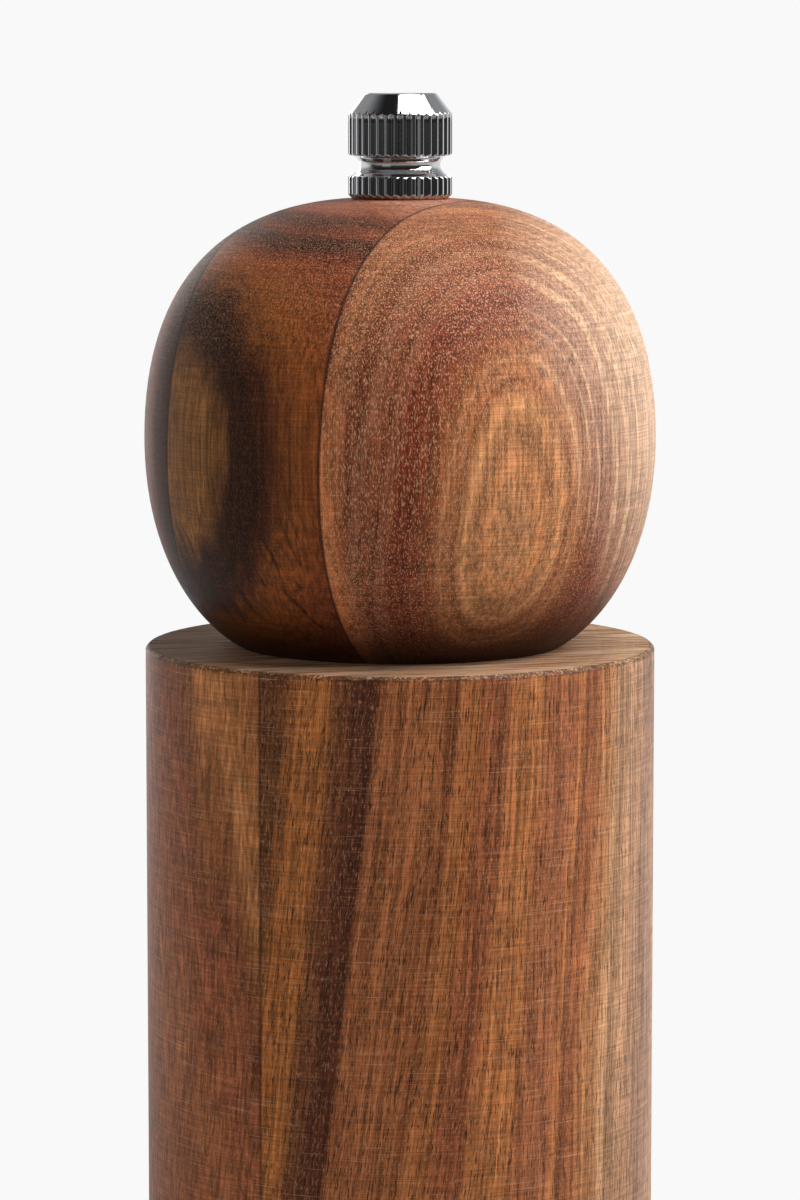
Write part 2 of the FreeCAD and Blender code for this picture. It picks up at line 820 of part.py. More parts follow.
def make_clip():
    """E-shaped clip: a band with three lugs that reach into the shaft's groove, open at one side."""
    clip = new_piece("retaining_clip", clip_floor)
    inner = clip_inner_radius
    thick = size.clip_thickness
    lathe(clip, "clip_band_ring", [(inner, 0), (clip_radius, 0), (clip_radius, thick), (inner, thick)])
    lug = new_sketch(clip, "clip_lug_outline")
    seat = groove_radius + size.clip_clearance
    box_outline(lug, seat, inner + size.clip_band / 2, size.clip_lug_width / 2)
    repeat(clip, pad(clip, "clip_lug", lug, thick), size.clip_lugs)
    mouth = new_sketch(clip, "clip_mouth_outline")
    box_outline(mouth, -clip_radius - size.cutter_overrun, -seat, size.clip_mouth / 2)
    pocket(clip, "clip_mouth_cut", mouth)
    return clip


def make_bush():
    """Sleeve that turns in the hub. The spring holds its flange up against the hub's lower end."""
    bush = new_piece("shaft_bush", bush_floor)
    flange = bush_radius + size.bush_flange_width
    top = size.bush_flange + size.hub_depth + size.bush_stand_out
    lathe(bush, "bush_sleeve", [
        (0, 0),
        (flange, 0),
        (flange, size.bush_flange),
        (bush_radius, size.bush_flange),
        (bush_radius, top),
        (0, top),
    ])
    square_hole(bush, "shaft_square")
    return bush


def biarc(start, start_way, end, end_way):
    """Two tangent arcs from start to end that leave and arrive along the given unit directions."""
    chord = end - start
    ways = start_way + end_way
    bend = 2 * (1 - start_way.dot(end_way))
    reach = (math.sqrt(chord.dot(ways) ** 2 + bend * chord.dot(chord)) - chord.dot(ways)) / bend
    joint = (start + end + (start_way - end_way) * reach) / 2

    def arc(first, corner, last):
        middle = (first + last) / 2
        half = (last - first).Length / 2
        rise = (corner - middle).Length
        sagitta = half * (math.sqrt(half**2 + rise**2) - half) / rise
        return Part.Arc(first, middle + (corner - middle) * (sagitta / rise), last)

    return [arc(start, start + start_way * reach, joint), arc(joint, end - end_way * reach, end)]


def make_spring():
    """Compression spring round the shaft, from the carrier's core up to the bush. One unbroken wire,
    each quarter turn of its helix drawn as two arcs."""
    wire = size.spring_wire.value
    radius = spring_radius.value
    turns = size.spring_turns.value
    low = wire / 2 + size.spring_seat_gap.value
    pitch = (bush_floor.value - spring_floor.value - 2 * low) / turns
    quarters = round(turns * 4)

    def point(turn):
        angle = 2 * math.pi * turn
        return FreeCAD.Vector(radius * math.cos(angle), radius * math.sin(angle), low + pitch * turn)

    def way(turn):
        angle = 2 * math.pi * turn
        around = 2 * math.pi * radius
        return FreeCAD.Vector(-around * math.sin(angle), around * math.cos(angle), pitch).normalize()

    edges = []
    for quarter in range(quarters):
        start = quarter / quarters * turns
        end = (quarter + 1) / quarters * turns
        edges += [arc.toShape() for arc in biarc(point(start), way(start), point(end), way(end))]
    section = Part.Wire(Part.makeCircle(wire / 2, point(0), way(0)))
    spring = doc.addObject("Part::Feature", "spring")
    spring.Label = "spring"
    spring.Shape = Part.Wire(edges).makePipeShell([section], True, False)
    spring.Placement = FreeCAD.Placement(FreeCAD.Vector(0, 0, spring_floor.value), FreeCAD.Rotation())
    steps = 48
    line = [point(step / steps) for step in range(round(turns * steps) + 1)]
    gap = min((after - before).Length for before, after in zip(line, line[steps:])) - wire
    length = sum(edge.Length for edge in edges)
    print(f"spring: least gap between turns {gap:.2f} mm, wire length {length:.1f} mm, "
          f"volume {spring.Shape.Volume:.2f} of {math.pi * wire**2 / 4 * length:.2f} mm3")
    return spring


pieces = [
    make_barrel(),
    make_head(),
    make_knob(),
    make_shaft(),
    make_drive_plate(),
    make_plate_screws(),
    make_housing(),
    make_housing_screws(),
    make_stator(),
    make_retainer(),
    make_rotor(),
    make_carrier(),
    make_washer(),
    make_clip(),
    make_bush(),
    make_spring(),
]
doc.recompute()

faults = [part.Label for part in doc.Objects if {"Invalid", "Error"} & set(part.State)]
faults += [piece.Label for piece in pieces if piece.Shape.isNull() or not piece.Shape.isValid()]
if faults:
    raise ValueError(f"not built: {faults}")
os.makedirs("parts", exist_ok=True)
for piece in pieces:
    piece.Shape.exportStep(f"parts/{piece.Label}.step")
    box = piece.Shape.optimalBoundingBox()
    print(f"{piece.Label}: {len(piece.Shape.Solids)} solids, {piece.Shape.Volume:.1f} mm3, "
          f"z {box.ZMin:.2f} to {box.ZMax:.2f}, width {box.XLength:.2f}")
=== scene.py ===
# %% [markdown]
# A turned wooden pepper mill
#
# The mill is a barrel and a rounded head of glued acacia boards, with a chromed knob on top and a
# ceramic grinder in the foot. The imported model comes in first, as a fixed frame: every later piece is
# put where the model says. One millimetre is kept as a number, because a maker thinks in millimetres
# and Blender works in metres.

import bmesh
import bpy
import numpy as np
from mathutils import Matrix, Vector


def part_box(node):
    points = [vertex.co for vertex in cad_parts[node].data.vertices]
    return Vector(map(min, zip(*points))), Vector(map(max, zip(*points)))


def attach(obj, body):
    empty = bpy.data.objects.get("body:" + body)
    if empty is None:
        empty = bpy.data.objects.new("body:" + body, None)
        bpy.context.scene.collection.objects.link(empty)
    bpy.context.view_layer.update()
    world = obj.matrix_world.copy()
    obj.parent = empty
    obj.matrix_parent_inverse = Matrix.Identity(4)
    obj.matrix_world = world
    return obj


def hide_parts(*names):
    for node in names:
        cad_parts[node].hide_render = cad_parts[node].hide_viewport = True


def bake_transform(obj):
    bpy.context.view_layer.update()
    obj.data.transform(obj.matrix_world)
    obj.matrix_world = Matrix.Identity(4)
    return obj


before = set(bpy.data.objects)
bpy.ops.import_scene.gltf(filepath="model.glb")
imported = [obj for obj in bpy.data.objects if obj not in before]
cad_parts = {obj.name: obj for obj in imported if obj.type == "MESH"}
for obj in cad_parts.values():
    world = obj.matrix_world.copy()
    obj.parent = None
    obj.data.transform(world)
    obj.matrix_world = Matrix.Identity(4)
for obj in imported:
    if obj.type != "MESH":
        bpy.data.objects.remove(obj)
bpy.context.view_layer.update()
scene = bpy.context.scene
MM = 0.001
print("nodes:", ", ".join(sorted(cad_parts)))

# %% [markdown]
# The camera
#
# The photograph was taken from close by, a little above the mill, with a long lens that cuts the foot
# off. A camera can be placed by hand until the picture looks right, or worked out from points whose
# places are known. Here the ball's outline and the barrel's rim gave the distance, the height and the
# downward tilt, so the picture fits without any lens shift.

# %% Place the camera
# lengths in mm and the tilt in degrees
camera_distance = 563.4
camera_height = 210.7
camera_tilt = 6.908
frame_height = 36
focal_length = 149.34
camera = bpy.data.objects.new("camera", bpy.data.cameras.new("camera"))
scene.collection.objects.link(camera)
camera.location = (0, -camera_distance * MM, camera_height * MM)
camera.rotation_euler = (np.radians(90 - camera_tilt), 0, 0)
camera.data.sensor_fit = "VERTICAL"
camera.data.sensor_height = frame_height
camera.data.lens = focal_length
scene.camera = camera
scene.view_settings.view_transform = "Standard"
print("camera stands", round(camera_distance), "mm in front and", round(camera_height), "mm up")

# %% [markdown]
# Two tools for every finish
#
# Colours are written as the hex values that a paint chart uses. Blender mixes light in linear values,
# so one function turns one into the other. A second function adds a node, fills its sockets with
# numbers or with other nodes' outputs, and hands back the output that is wanted. Sockets can be named or
# counted from 0. A Map Range reads the range in its sockets 1 and 2 and gives the range in 3 and 4, and
# a Mix of colours takes its share in socket 0 and the two colours in 6 and 7.

# %% Colour and node tools
def linear(code):
    """sRGB hex to linear: c / 12.92 in the darkest part, ((c + 0.055) / 1.055) ** 2.4 above it."""
    c = np.array([int(code[i:i + 2], 16) for i in (1, 3, 5)]) / 255
    c = np.where(c > 0.04045, ((c + 0.055) / 1.055) ** 2.4, c / 12.92)
    return (*c.tolist(), 1.0)


def add(tree, kind, sockets={}, out=0, stops=(), **settings):
    """Adds a node with its settings, sockets and colour stops, and returns one of its outputs."""
    node = tree.nodes.new("ShaderNode" + kind)
    for name, value in settings.items():
        setattr(node, name, value)
    for name, value in sockets.items():
        if isinstance(value, bpy.types.NodeSocket):
            tree.links.new(value, node.inputs[name])
        else:
            node.inputs[name].default_value = value
    if stops:
        band = node.color_ramp.elements
        for element, (place, code) in zip(band, (stops[0], stops[-1])):
            element.position = place
            element.color = linear(code)
        for place, code in stops[1:-1]:
            band.new(place).color = linear(code)
    return node.outputs[out] if node.outputs else node


def new_finish(name):
    """An empty material and its node tree."""
    material = bpy.data.materials.new(name)
    material.use_nodes = True
    material.node_tree.nodes.clear()
    return material, material.node_tree


print("white is", linear("#FFFFFF"), "and mid grey is", [round(v, 3) for v in linear("#808080")])

# %% [markdown]
# The studio
#
# A large soft lamp stands at the upper right and a weaker one hangs overhead. A fill from the lower left
# opens the shaded side, and because it is low it only grazes the barrel's flat top and leaves the
# shadow beside the ball. A dim card at the front left gives the knob's facets their grey, and a narrow
# strip behind draws a thin bright line along the left edge. Polished metal shows the whole room, so the
# room is pale behind the mill, and darker overhead and where the camera stands.

# %% Light the studio
# the white that the camera sees behind the mill, and the weak light from all around
paper_white = 0.947
room_light = 0.075
world = bpy.data.worlds.new("studio")
scene.world = world
world.use_nodes = True
tree = world.node_tree
tree.nodes.clear()
ray = add(tree, "LightPath").node
direction = add(tree, "TexCoord").node.outputs["Generated"]
depth = add(tree, "SeparateXYZ", {0: direction}, out=1)
# the room that polished metal sees: dark at the camera, pale behind the mill, dimmer overhead
room = add(tree, "MapRange", {0: depth, 1: -0.15, 2: 0.45, 3: 0.05, 4: 0.95},
           interpolation_type="SMOOTHSTEP")
seen = add(tree, "Math", {0: ray.outputs["Is Camera Ray"], 1: ray.outputs["Is Transmission Ray"]},
           operation="MAXIMUM")
rise = add(tree, "SeparateXYZ", {0: direction}, out=2)
up = add(tree, "MapRange", {0: rise, 1: 0.15, 2: 0.45, 3: 1.0, 4: 0.38})
room = add(tree, "Math", {0: room, 1: up}, operation="MULTIPLY")
soft = add(tree, "Mix", {0: ray.outputs["Is Glossy Ray"], 2: room_light, 3: room})
strength = add(tree, "Mix", {0: seen, 2: soft, 3: paper_white})
sky = add(tree, "Background", {"Color": (1, 1, 1, 1), "Strength": strength})
add(tree, "OutputWorld", {"Surface": sky})

# each lamp's place in metres, its width and height in metres, and its power in watts
lamps = {
    "key_softbox": ((0.82, -0.12, 0.70), (0.70, 0.80), 13.0),
    "top_softbox": ((0.36, -0.16, 1.10), (0.70, 0.70), 5.4),
    "fill_softbox": ((-0.78, -0.72, 0.38), (0.60, 0.60), 4.15),
    "card_strip": ((-0.38, -0.46, 0.13), (0.26, 0.40), 0.06),
    "rim_strip": ((-0.40, 0.95, 0.30), (0.25, 0.90), 2.0),
}
# every lamp points at the middle of the barrel's rim
rim_middle = Vector((0, 0, 0.14))
for name, (place, size, power) in lamps.items():
    lamp = bpy.data.lights.new(name, "AREA")
    lamp.shape = "RECTANGLE"
    lamp.size, lamp.size_y = size
    lamp.energy = power
    holder = bpy.data.objects.new(name, lamp)
    scene.collection.objects.link(holder)
    holder.location = place
    # a fill is light bounced off a wide wall, which the chrome would hardly show
    holder.visible_glossy = name != "fill_softbox"
    aim = rim_middle - Vector(place)
    holder.rotation_euler = aim.to_track_quat("-Z", "Y").to_euler()
    print(name, power, "W from", [round(v, 2) for v in place])

# %% [markdown]
# Surfaces from grids
#
# Most pieces of a mill are turned, so each is an outline carried round an axis. Blender's Screw or
# Spin would do it, but a grid of points worked out with numpy also takes knurls, threads and a rough
# rim in the same step. A grid may close on itself in either direction, and points that meet at a pole
# are merged.

# %% Grid and outline tools
# points closer than this, in metres, are one point, and edges sharper than this, in degrees, stay sharp
weld_distance = 1e-7
sharp_angle = 40


def make_piece(name, grids, close=(True, True)):
    """Joins point (i, j) of each grid to (i, j+1), (i+1, j+1) and (i+1, j), as one closed mesh.
    close says whether the last row meets the first and the last column meets the first."""
    points, faces, first = [], [], 0
    for grid in grids:
        rows, columns = grid.shape[:2]
        index = np.arange(rows * columns).reshape(rows, columns) + first
        first += rows * columns
        index = np.vstack([index, index[:1]]) if close[0] else index
        index = np.hstack([index, index[:, :1]]) if close[1] else index
        corners = [index[:-1, :-1], index[:-1, 1:], index[1:, 1:], index[1:, :-1]]
        faces.append(np.stack(corners, -1).reshape(-1, 4))
        points.append(grid.reshape(-1, 3) * MM)
    mesh = bpy.data.meshes.new(name)
    mesh.from_pydata(np.vstack(points).tolist(), [], np.vstack(faces).tolist())
    work = bmesh.new()
    work.from_mesh(mesh)
    bmesh.ops.remove_doubles(work, verts=work.verts, dist=weld_distance)
    bmesh.ops.recalc_face_normals(work, faces=work.faces)
    work.to_mesh(mesh)
    work.free()
    mesh.shade_smooth()
    mesh.set_sharp_from_angle(angle=np.radians(sharp_angle))
    piece = bpy.data.objects.new(name, mesh)
    scene.collection.objects.link(piece)
    print(name, "has", len(mesh.polygons), "faces")
    return piece


def turned_outline(corners, step=1.5, closed=True):
    """Outline of a turning from (radius, height, rounding) corners. Each corner becomes a small
    quadratic curve between points that lie its rounding away along both sides, and the straight runs
    between are divided about every step millimetres, with one more point close to each end that keeps
    the shading of the corner from spreading. An outline that is not closed begins and ends on the
    axis."""
    # points of a rounded corner, the close point's share of a step, and the shortest gap in mm
    corner_points, near_end, shortest = 6, 0.2, 1e-5
    corners = np.array(corners, float)
    here, cut = corners[:, :2], corners[:, 2:]
    ahead = np.roll(here, -1, 0) - here
    ahead /= np.linalg.norm(ahead, axis=1, keepdims=True)
    start, end = here - np.roll(ahead, 1, 0) * cut, here + ahead * cut
    t = np.linspace(0, 1, corner_points)[:, None]
    line = []
    for a, b, c, d in zip(start, here, end, np.roll(start, -1, 0)):
        line.append(a * (1 - t) ** 2 + b * 2 * t * (1 - t) + c * t ** 2)
        count = max(2, int(np.linalg.norm(d - c) / step) + 1)
        s = np.concatenate([[near_end], np.arange(1, count), [count - near_end]])[:, None] / count
        line.append(c + (d - c) * s)
    line = np.vstack(line if closed else line[:-1])
    gap = np.linalg.norm(line - np.roll(line, 1, 0), axis=1)
    return line[gap > shortest]


def turn(outline, columns):
    """Carries an outline of (radius, height) points round the axis: x = r cos a, y = r sin a, z = h."""
    angle = np.arange(columns) / columns * 2 * np.pi
    r, z = outline[:, :1], outline[:, 1:]
    return np.stack([r * np.cos(angle), r * np.sin(angle), z + 0 * angle], -1)


def seat(piece, material, body, node):
    """Gives a piece its finish and lets it stand for a node of the frame on its body."""
    piece.data.materials.append(material)
    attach(piece, body)
    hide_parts(node)


washer = turned_outline([(3, 0, 0.1), (6, 0, 0.1), (6, 1, 0.1), (3, 1, 0.1)])
print("the outline of a small washer would have", len(washer), "points")

# %% [markdown]
# The sweep
#
# The mill stands on a wide sheet of matt paper. Near the mill it takes a soft shadow, and further out
# the camera sees it as white as the room behind, so the paper's finish turns into an even glow there.
# The sheet lies a hair below the foot, so that the two faces do not share one plane.

# %% Lay the sweep
sweep_radius = 6000
sweep_drop = 0.02
# flecks in the paper, about 1.1 mm apart
flecks_per_metre = 900.0
ring = np.linspace(0, 1, 40)[:, None] ** 2 * [sweep_radius, 0] - [0, sweep_drop]
floor = make_piece("floor", [turn(ring, columns=96)], close=(False, True))
finish, tree = new_finish("painted_paper_sweep")
# matt paper: it scatters light evenly and takes a soft shadow
place = add(tree, "TexCoord").node.outputs["Object"]
# the glow's share grows from 0.72 at 5 cm from the axis to all of it at 28 cm
far = add(tree, "VectorMath", {0: place}, out=1, operation="LENGTH")
far = add(tree, "MapRange", {0: far, 1: 0.05, 2: 0.28, 3: 0.72}, interpolation_type="SMOOTHSTEP")
# only the camera and reflections of the far side see the glow, so it lights nothing else
ray = add(tree, "LightPath").node
behind = add(tree, "SeparateXYZ", {0: place}, out=1)
behind = add(tree, "MapRange", {0: behind, 1: -0.05, 2: 0.40})
seen = add(tree, "Math", {0: ray.outputs["Is Glossy Ray"], 1: behind}, operation="MULTIPLY")
seen = add(tree, "Math", {0: seen, 1: ray.outputs["Is Camera Ray"]}, operation="MAXIMUM")
seen = add(tree, "Math", {0: seen, 1: ray.outputs["Is Transmission Ray"]}, operation="MAXIMUM")
share = add(tree, "Math", {0: far, 1: seen}, operation="MULTIPLY")
fleck = add(tree, "TexNoise", {"Vector": place, "Scale": flecks_per_metre, "Detail": 2.0})
paper = add(tree, "ValToRGB", {0: fleck}, stops=[(0.3, "#959493"), (0.7, "#9C9B9A")])
matt = add(tree, "BsdfDiffuse", {"Color": paper})
glow = add(tree, "Emission", {"Color": (paper_white, paper_white, paper_white, 1)})
add(tree, "OutputMaterial", {"Surface": add(tree, "MixShader", {0: share, 1: matt, 2: glow})})
floor.data.materials.append(finish)

# %% [markdown]
# What wood is made of
#
# A board is a stack of growth rings round the pith of its trunk. A picture of wood could be wrapped
# round each piece, but it would not run through the solid. So each board here has its own pith line,
# and the distance from it picks the ring's tone. A ball cut near the pith then shows ovals and a
# barrel shows long bands, as the real ones do. Fibres, pores and sanding marks come on top.

# %% Wood tools
# early and late wood, in mm from ring to ring
ring_spacing = 0.8
# the size in mm of a trunk's slow bends, shorter across it than along it
bend_size = (18, 18, 45)


def board_rings(tree, place, pith, lean):
    """A board's own axes, with its pith as the third one, and the distance from the pith in mm."""
    own = add(tree, "Mapping", {0: place, 1: pith, 2: np.radians(lean).tolist()}, vector_type="TEXTURE")
    across = add(tree, "VectorMath", {0: own, 1: (1, 1, 0)}, operation="MULTIPLY")
    return own, add(tree, "VectorMath", {0: across}, out=1, operation="LENGTH")


def wood_grain(tree, place, across, along, low, high, detail=2.0):
    """Marks that are across mm wide and along mm long, as 0 to 1 between two noise levels."""
    scale = (1 / across, 1 / across, 1 / along)
    stretched = add(tree, "VectorMath", {0: place, 1: scale}, operation="MULTIPLY")
    noise = add(tree, "TexNoise", {"Vector": stretched, "Scale": 1.0, "Detail": detail, "Roughness": 0.55})
    return add(tree, "MapRange", {0: noise, 1: low, 2: high}, interpolation_type="SMOOTHSTEP")


def ring_tones(tree, distance, tones):
    """Colour bands by distance from the pith in mm, with fine rings between them that are never quite
    even."""
    low, high = tones[0][0], tones[-1][0]
    share = add(tree, "MapRange", {0: distance, 1: low, 2: high})
    stops = [((mm - low) / (high - low), code) for mm, code in tones]
    bands = add(tree, "ValToRGB", {0: share}, stops=stops)
    bands.node.color_ramp.interpolation = "EASE"
    turns = add(tree, "Math", {0: distance, 1: 1 / ring_spacing}, operation="MULTIPLY")
    fine = add(tree, "TexNoise", {"W": turns, "Scale": 1.0, "Detail": 3.0, "Roughness": 0.6},
               noise_dimensions="1D")
    light = add(tree, "MapRange", {0: fine, 1: 0.3, 2: 0.7, 3: 0.78, 4: 1.22})
    return add(tree, "VectorMath", {0: bands, "Scale": light}, operation="SCALE")


def wood_place(tree, amount):
    """Places in mm, and the same places bent by a slow noise, because no trunk grows quite straight."""
    place = add(tree, "TexCoord").node.outputs["Object"]
    place = add(tree, "VectorMath", {0: place, "Scale": 1 / MM}, operation="SCALE")
    slow = add(tree, "VectorMath", {0: place, 1: [1 / mm for mm in bend_size]}, operation="MULTIPLY")
    bend = add(tree, "TexNoise", {"Vector": slow, "Scale": 1.0, "Detail": 2.0}, out=1)
    bend = add(tree, "VectorMath", {0: bend, 1: (0.5, 0.5, 0.5)}, operation="SUBTRACT")
    bend = add(tree, "VectorMath", {0: bend, "Scale": amount}, operation="SCALE")
    return place, add(tree, "VectorMath", {0: place, 1: bend}, operation="ADD")


def pith_line(azimuth, drop, distance, centre):
    """A pith that passes the centre at a distance, seen azimuth degrees to the right of the front and
    drop degrees down. Returns a point on it and its lean."""
    a, d = np.radians([azimuth, drop])
    out = np.array([np.sin(a) * np.cos(d), -np.cos(a) * np.cos(d), -np.sin(d)])
    return (np.array(centre) + out * distance).tolist(), (drop, 0, azimuth)


def lay_fibres(tree, wood, place, across, along, dark, light):
    """Darker and lighter bundles of fibres, across mm wide and along mm long. Returns the wood with them,
    and their light."""
    fibre = wood_grain(tree, place, across, along, low=0.30, high=0.70, detail=3.0)
    fibre = add(tree, "MapRange", {0: fibre, 3: dark, 4: light})
    return add(tree, "VectorMath", {0: wood, "Scale": fibre}, operation="SCALE"), fibre


def lay_scratches(tree, wood, place, length, apart, top, dark, light):
    """Sanding marks round the lathe's axis, length mm long and apart mm from each other. Returns the wood
    with them, and their light."""
    scale = (1 / length, 1 / length, 1 / apart)
    marks = add(tree, "VectorMath", {0: place, 1: scale}, operation="MULTIPLY")
    marks = add(tree, "TexNoise", {"Vector": marks, "Scale": 1.0, "Detail": 2.0})
    marks = add(tree, "MapRange", {0: marks, 1: 0.35, 2: top, 3: dark, 4: light})
    return add(tree, "VectorMath", {0: wood, "Scale": marks}, operation="SCALE"), marks


def draw_glue(tree, wood, layer, glue, wide, thin, share, code):
    """A dark line where the place across the boards is glue mm: full within thin mm, gone at wide mm."""
    off = add(tree, "Math", {0: layer, 1: glue}, operation="SUBTRACT")
    off = add(tree, "Math", {0: off}, operation="ABSOLUTE")
    line = add(tree, "MapRange", {0: off, 1: wide, 2: thin, 4: share})
    return add(tree, "Mix", {0: line, 6: wood, 7: linear(code)}, out=2, data_type="RGBA")


def oil_wood(tree, wood, satin, pore, scratch, pore_depth):
    """Closes a wood finish: pores sink and scratches stand in a bump of 0.03 mm, under a satin of oil."""
    relief = add(tree, "Math", {0: pore, 1: -pore_depth, 2: scratch}, operation="MULTIPLY_ADD")
    bump = add(tree, "Bump", {"Strength": 0.35, "Distance": 0.03 * MM, "Height": relief})
    shader = add(tree, "BsdfPrincipled", {
        "Base Color": wood, "Roughness": satin, "Normal": bump, "IOR": 1.5, "Specular IOR Level": 0.16})
    add(tree, "OutputMaterial", {"Surface": shader})


print("growth rings lie about", ring_spacing, "mm apart")

# %% [markdown]
# Oiled acacia of the head
#
# Three boards were glued face to face and turned to a ball. The glue lines are planes, so the place
# across the boards is worked out first, and then each board is drawn by itself. The right one is cut
# close to its pith and shows pale and red ovals.

# %% Right board of the head
# the middle of the ball, and the two glue lines as places across the boards, in mm
head_middle = (0, 0, 161.0)
right_glue, left_glue = 8.6, -13.6
across_boards = (0.843, -0.537, -0.03)
head_wood, tree = new_finish("oiled_acacia_head")
# open-pored hardwood, sanded on the lathe and oiled: a satin sheen, with fine lines round the ball
place, bent = wood_place(tree, amount=4.0)
height = add(tree, "SeparateXYZ", {0: place}, out=2)
layer = add(tree, "VectorMath", {0: place, 1: across_boards}, out=1, operation="DOT_PRODUCT")
layer = add(tree, "Math", {0: layer, 1: 6.0}, operation="ADD")
pith, lean = pith_line(azimuth=26.5, drop=9.5, distance=40.0, centre=head_middle)
distance = board_rings(tree, bent, pith, lean)[1]
right = ring_tones(tree, distance, [
    (10.0, "#C58455"), (11.4, "#B87548"), (12.4, "#C28454"), (13.4, "#A4633D"), (14.4, "#AC6B42"),
    (15.8, "#864628"), (17.4, "#7A3520"), (18.8, "#77331F"), (20.2, "#824029"), (21.8, "#7E422A"),
    (22.8, "#8B4E34"), (23.8, "#783F29"), (24.8, "#743B24"), (25.6, "#84482E"), (27.2, "#935736"),
    (28.8, "#864B31"), (31.0, "#874A30"), (33.5, "#A0623F"), (35.5, "#7A442E"), (39.0, "#875037"),
    (42.0, "#74422E")])
# a strip of paler wood lies along the glue line in the lower half
strip = add(tree, "MapRange", {0: layer, 1: 12.0, 2: 9.0, 4: 0.75}, interpolation_type="SMOOTHSTEP")
lower = add(tree, "MapRange", {0: height, 1: 172.0, 2: 160.0})
strip = add(tree, "Math", {0: strip, 1: lower}, operation="MULTIPLY")
right = add(tree, "Mix", {0: strip, 6: right, 7: linear("#D07A46")}, out=2, data_type="RGBA")
# towards the right and the top, where the key lamp falls, a painted sheen turns this board pale, and there
# the early wood of single rings shows as pale arcs
arc_spacing = 1.5
outer = add(tree, "VectorMath", {0: bent, 1: (0.92, 0, 0.26)}, out=1, operation="DOT_PRODUCT")
outer = add(tree, "MapRange", {0: outer, 1: 57.5, 2: 71.0, 4: 0.84})
arc = add(tree, "Math", {0: distance, 1: 1 / arc_spacing}, operation="MULTIPLY")
arc = add(tree, "TexNoise", {"W": arc, "Scale": 1.0, "Detail": 1.0}, noise_dimensions="1D")
arc = add(tree, "MapRange", {0: arc, 1: 0.53, 2: 0.60, 4: 0.6}, interpolation_type="SMOOTHSTEP")
arc_share = add(tree, "MapRange", {0: outer, 2: 0.3, 3: 0.10})
arc = add(tree, "Math", {0: arc, 1: arc_share}, operation="MULTIPLY")
right = add(tree, "Mix", {0: arc, 6: right, 7: linear("#D6A87E")}, out=2, data_type="RGBA")
# painted sheen: the lit side of the ball is mixed towards a pale tone, up to 0.84 of it
right = add(tree, "Mix", {0: outer, 6: right, 7: linear("#DDBFA4")}, out=2, data_type="RGBA")
print("right board begins at", right_glue, "mm and its pith lies at", np.round(pith, 1).tolist())

# %% [markdown]
# The middle board of the head
#
# This board has a smoky dark ring round an olive heart, two dark bands under the crown and dark streaks
# near the landing. Its trunk was bent here. So the square of the height above or below the ball's middle
# is added to the distance, which closes the ovals sooner, and a slow noise makes the dark ring smoky.

# %% Middle board of the head
pith, lean = pith_line(azimuth=-66.0, drop=0.0, distance=60.0, centre=head_middle)
distance = board_rings(tree, bent, pith, lean)[1]
rise = add(tree, "Math", {0: height, 1: head_middle[2]}, operation="SUBTRACT")
rise = add(tree, "Math", {0: rise, 1: 2.0}, operation="POWER")
distance = add(tree, "Math", {0: rise, 1: 0.012, 2: distance}, operation="MULTIPLY_ADD")
# clouds of smoke 3 mm across and 10 mm along the trunk
smoke = add(tree, "VectorMath", {0: place, 1: (1 / 3, 1 / 3, 1 / 10)}, operation="MULTIPLY")
smoke = add(tree, "TexNoise", {"Vector": smoke, "Scale": 1.0, "Detail": 3.0})
distance = add(tree, "Math", {0: smoke, 1: 4.5, 2: distance}, operation="MULTIPLY_ADD")
middle = ring_tones(tree, distance, [
    (32.0, "#8A5C34"), (36.0, "#80552F"), (37.2, "#5E3C22"), (38.4, "#351E13"), (40.6, "#2F190F"),
    (42.4, "#4A2514"), (44.0, "#75401D"), (47.0, "#84461F"), (51.0, "#7A3D1C"), (55.0, "#72341B"),
    (61.0, "#8C5340"), (71.0, "#AC7B64"), (76.0, "#8A5238"), (80.0, "#6B3A24"), (83.0, "#94592F"),
    (88.0, "#A3673A"), (92.0, "#7C4428"), (96.0, "#96592F"), (100.0, "#7A4429")])
# the two bands under the crown lie nearly level, between 181 and 190 mm up
bands = add(tree, "VectorMath", {0: bent, 1: (0.03, -0.08, 1.0)}, out=1, operation="DOT_PRODUCT")
bands = add(tree, "MapRange", {0: bands, 1: 181.0, 2: 190.0})
bands = add(tree, "ValToRGB", {0: bands}, stops=[
    (0.0, "#FFFFFF"), (0.18, "#FFF0E8"), (0.30, "#B88C78"), (0.40, "#63483E"), (0.46, "#6E5046"),
    (0.51, "#C49A8A"), (0.56, "#B48A7C"), (0.61, "#6A4C44"), (0.66, "#9A7468"), (0.72, "#F0D4C8"),
    (1.0, "#FFFFFF")])
middle = add(tree, "Mix", {0: 1.0, 6: middle, 7: bands}, out=2, data_type="RGBA", blend_type="MULTIPLY")
# the streaks near the landing lean by 24 degrees
streak_lean = np.radians((0, -24, 0)).tolist()
slant = add(tree, "Mapping", {0: bent, 2: streak_lean}, vector_type="TEXTURE")
streak = wood_grain(tree, slant, across=1.1, along=16, low=0.56, high=0.68)
low = add(tree, "MapRange", {0: height, 1: 160.0, 2: 147.0}, interpolation_type="SMOOTHSTEP")
streak = add(tree, "Math", {0: streak, 1: low}, operation="MULTIPLY")
streak = add(tree, "Math", {0: streak, 1: 0.8}, operation="MULTIPLY")
middle = add(tree, "Mix", {0: streak, 6: middle, 7: linear("#2A150D")}, out=2, data_type="RGBA")
print("middle board is", round(right_glue - left_glue, 1), "mm thick")
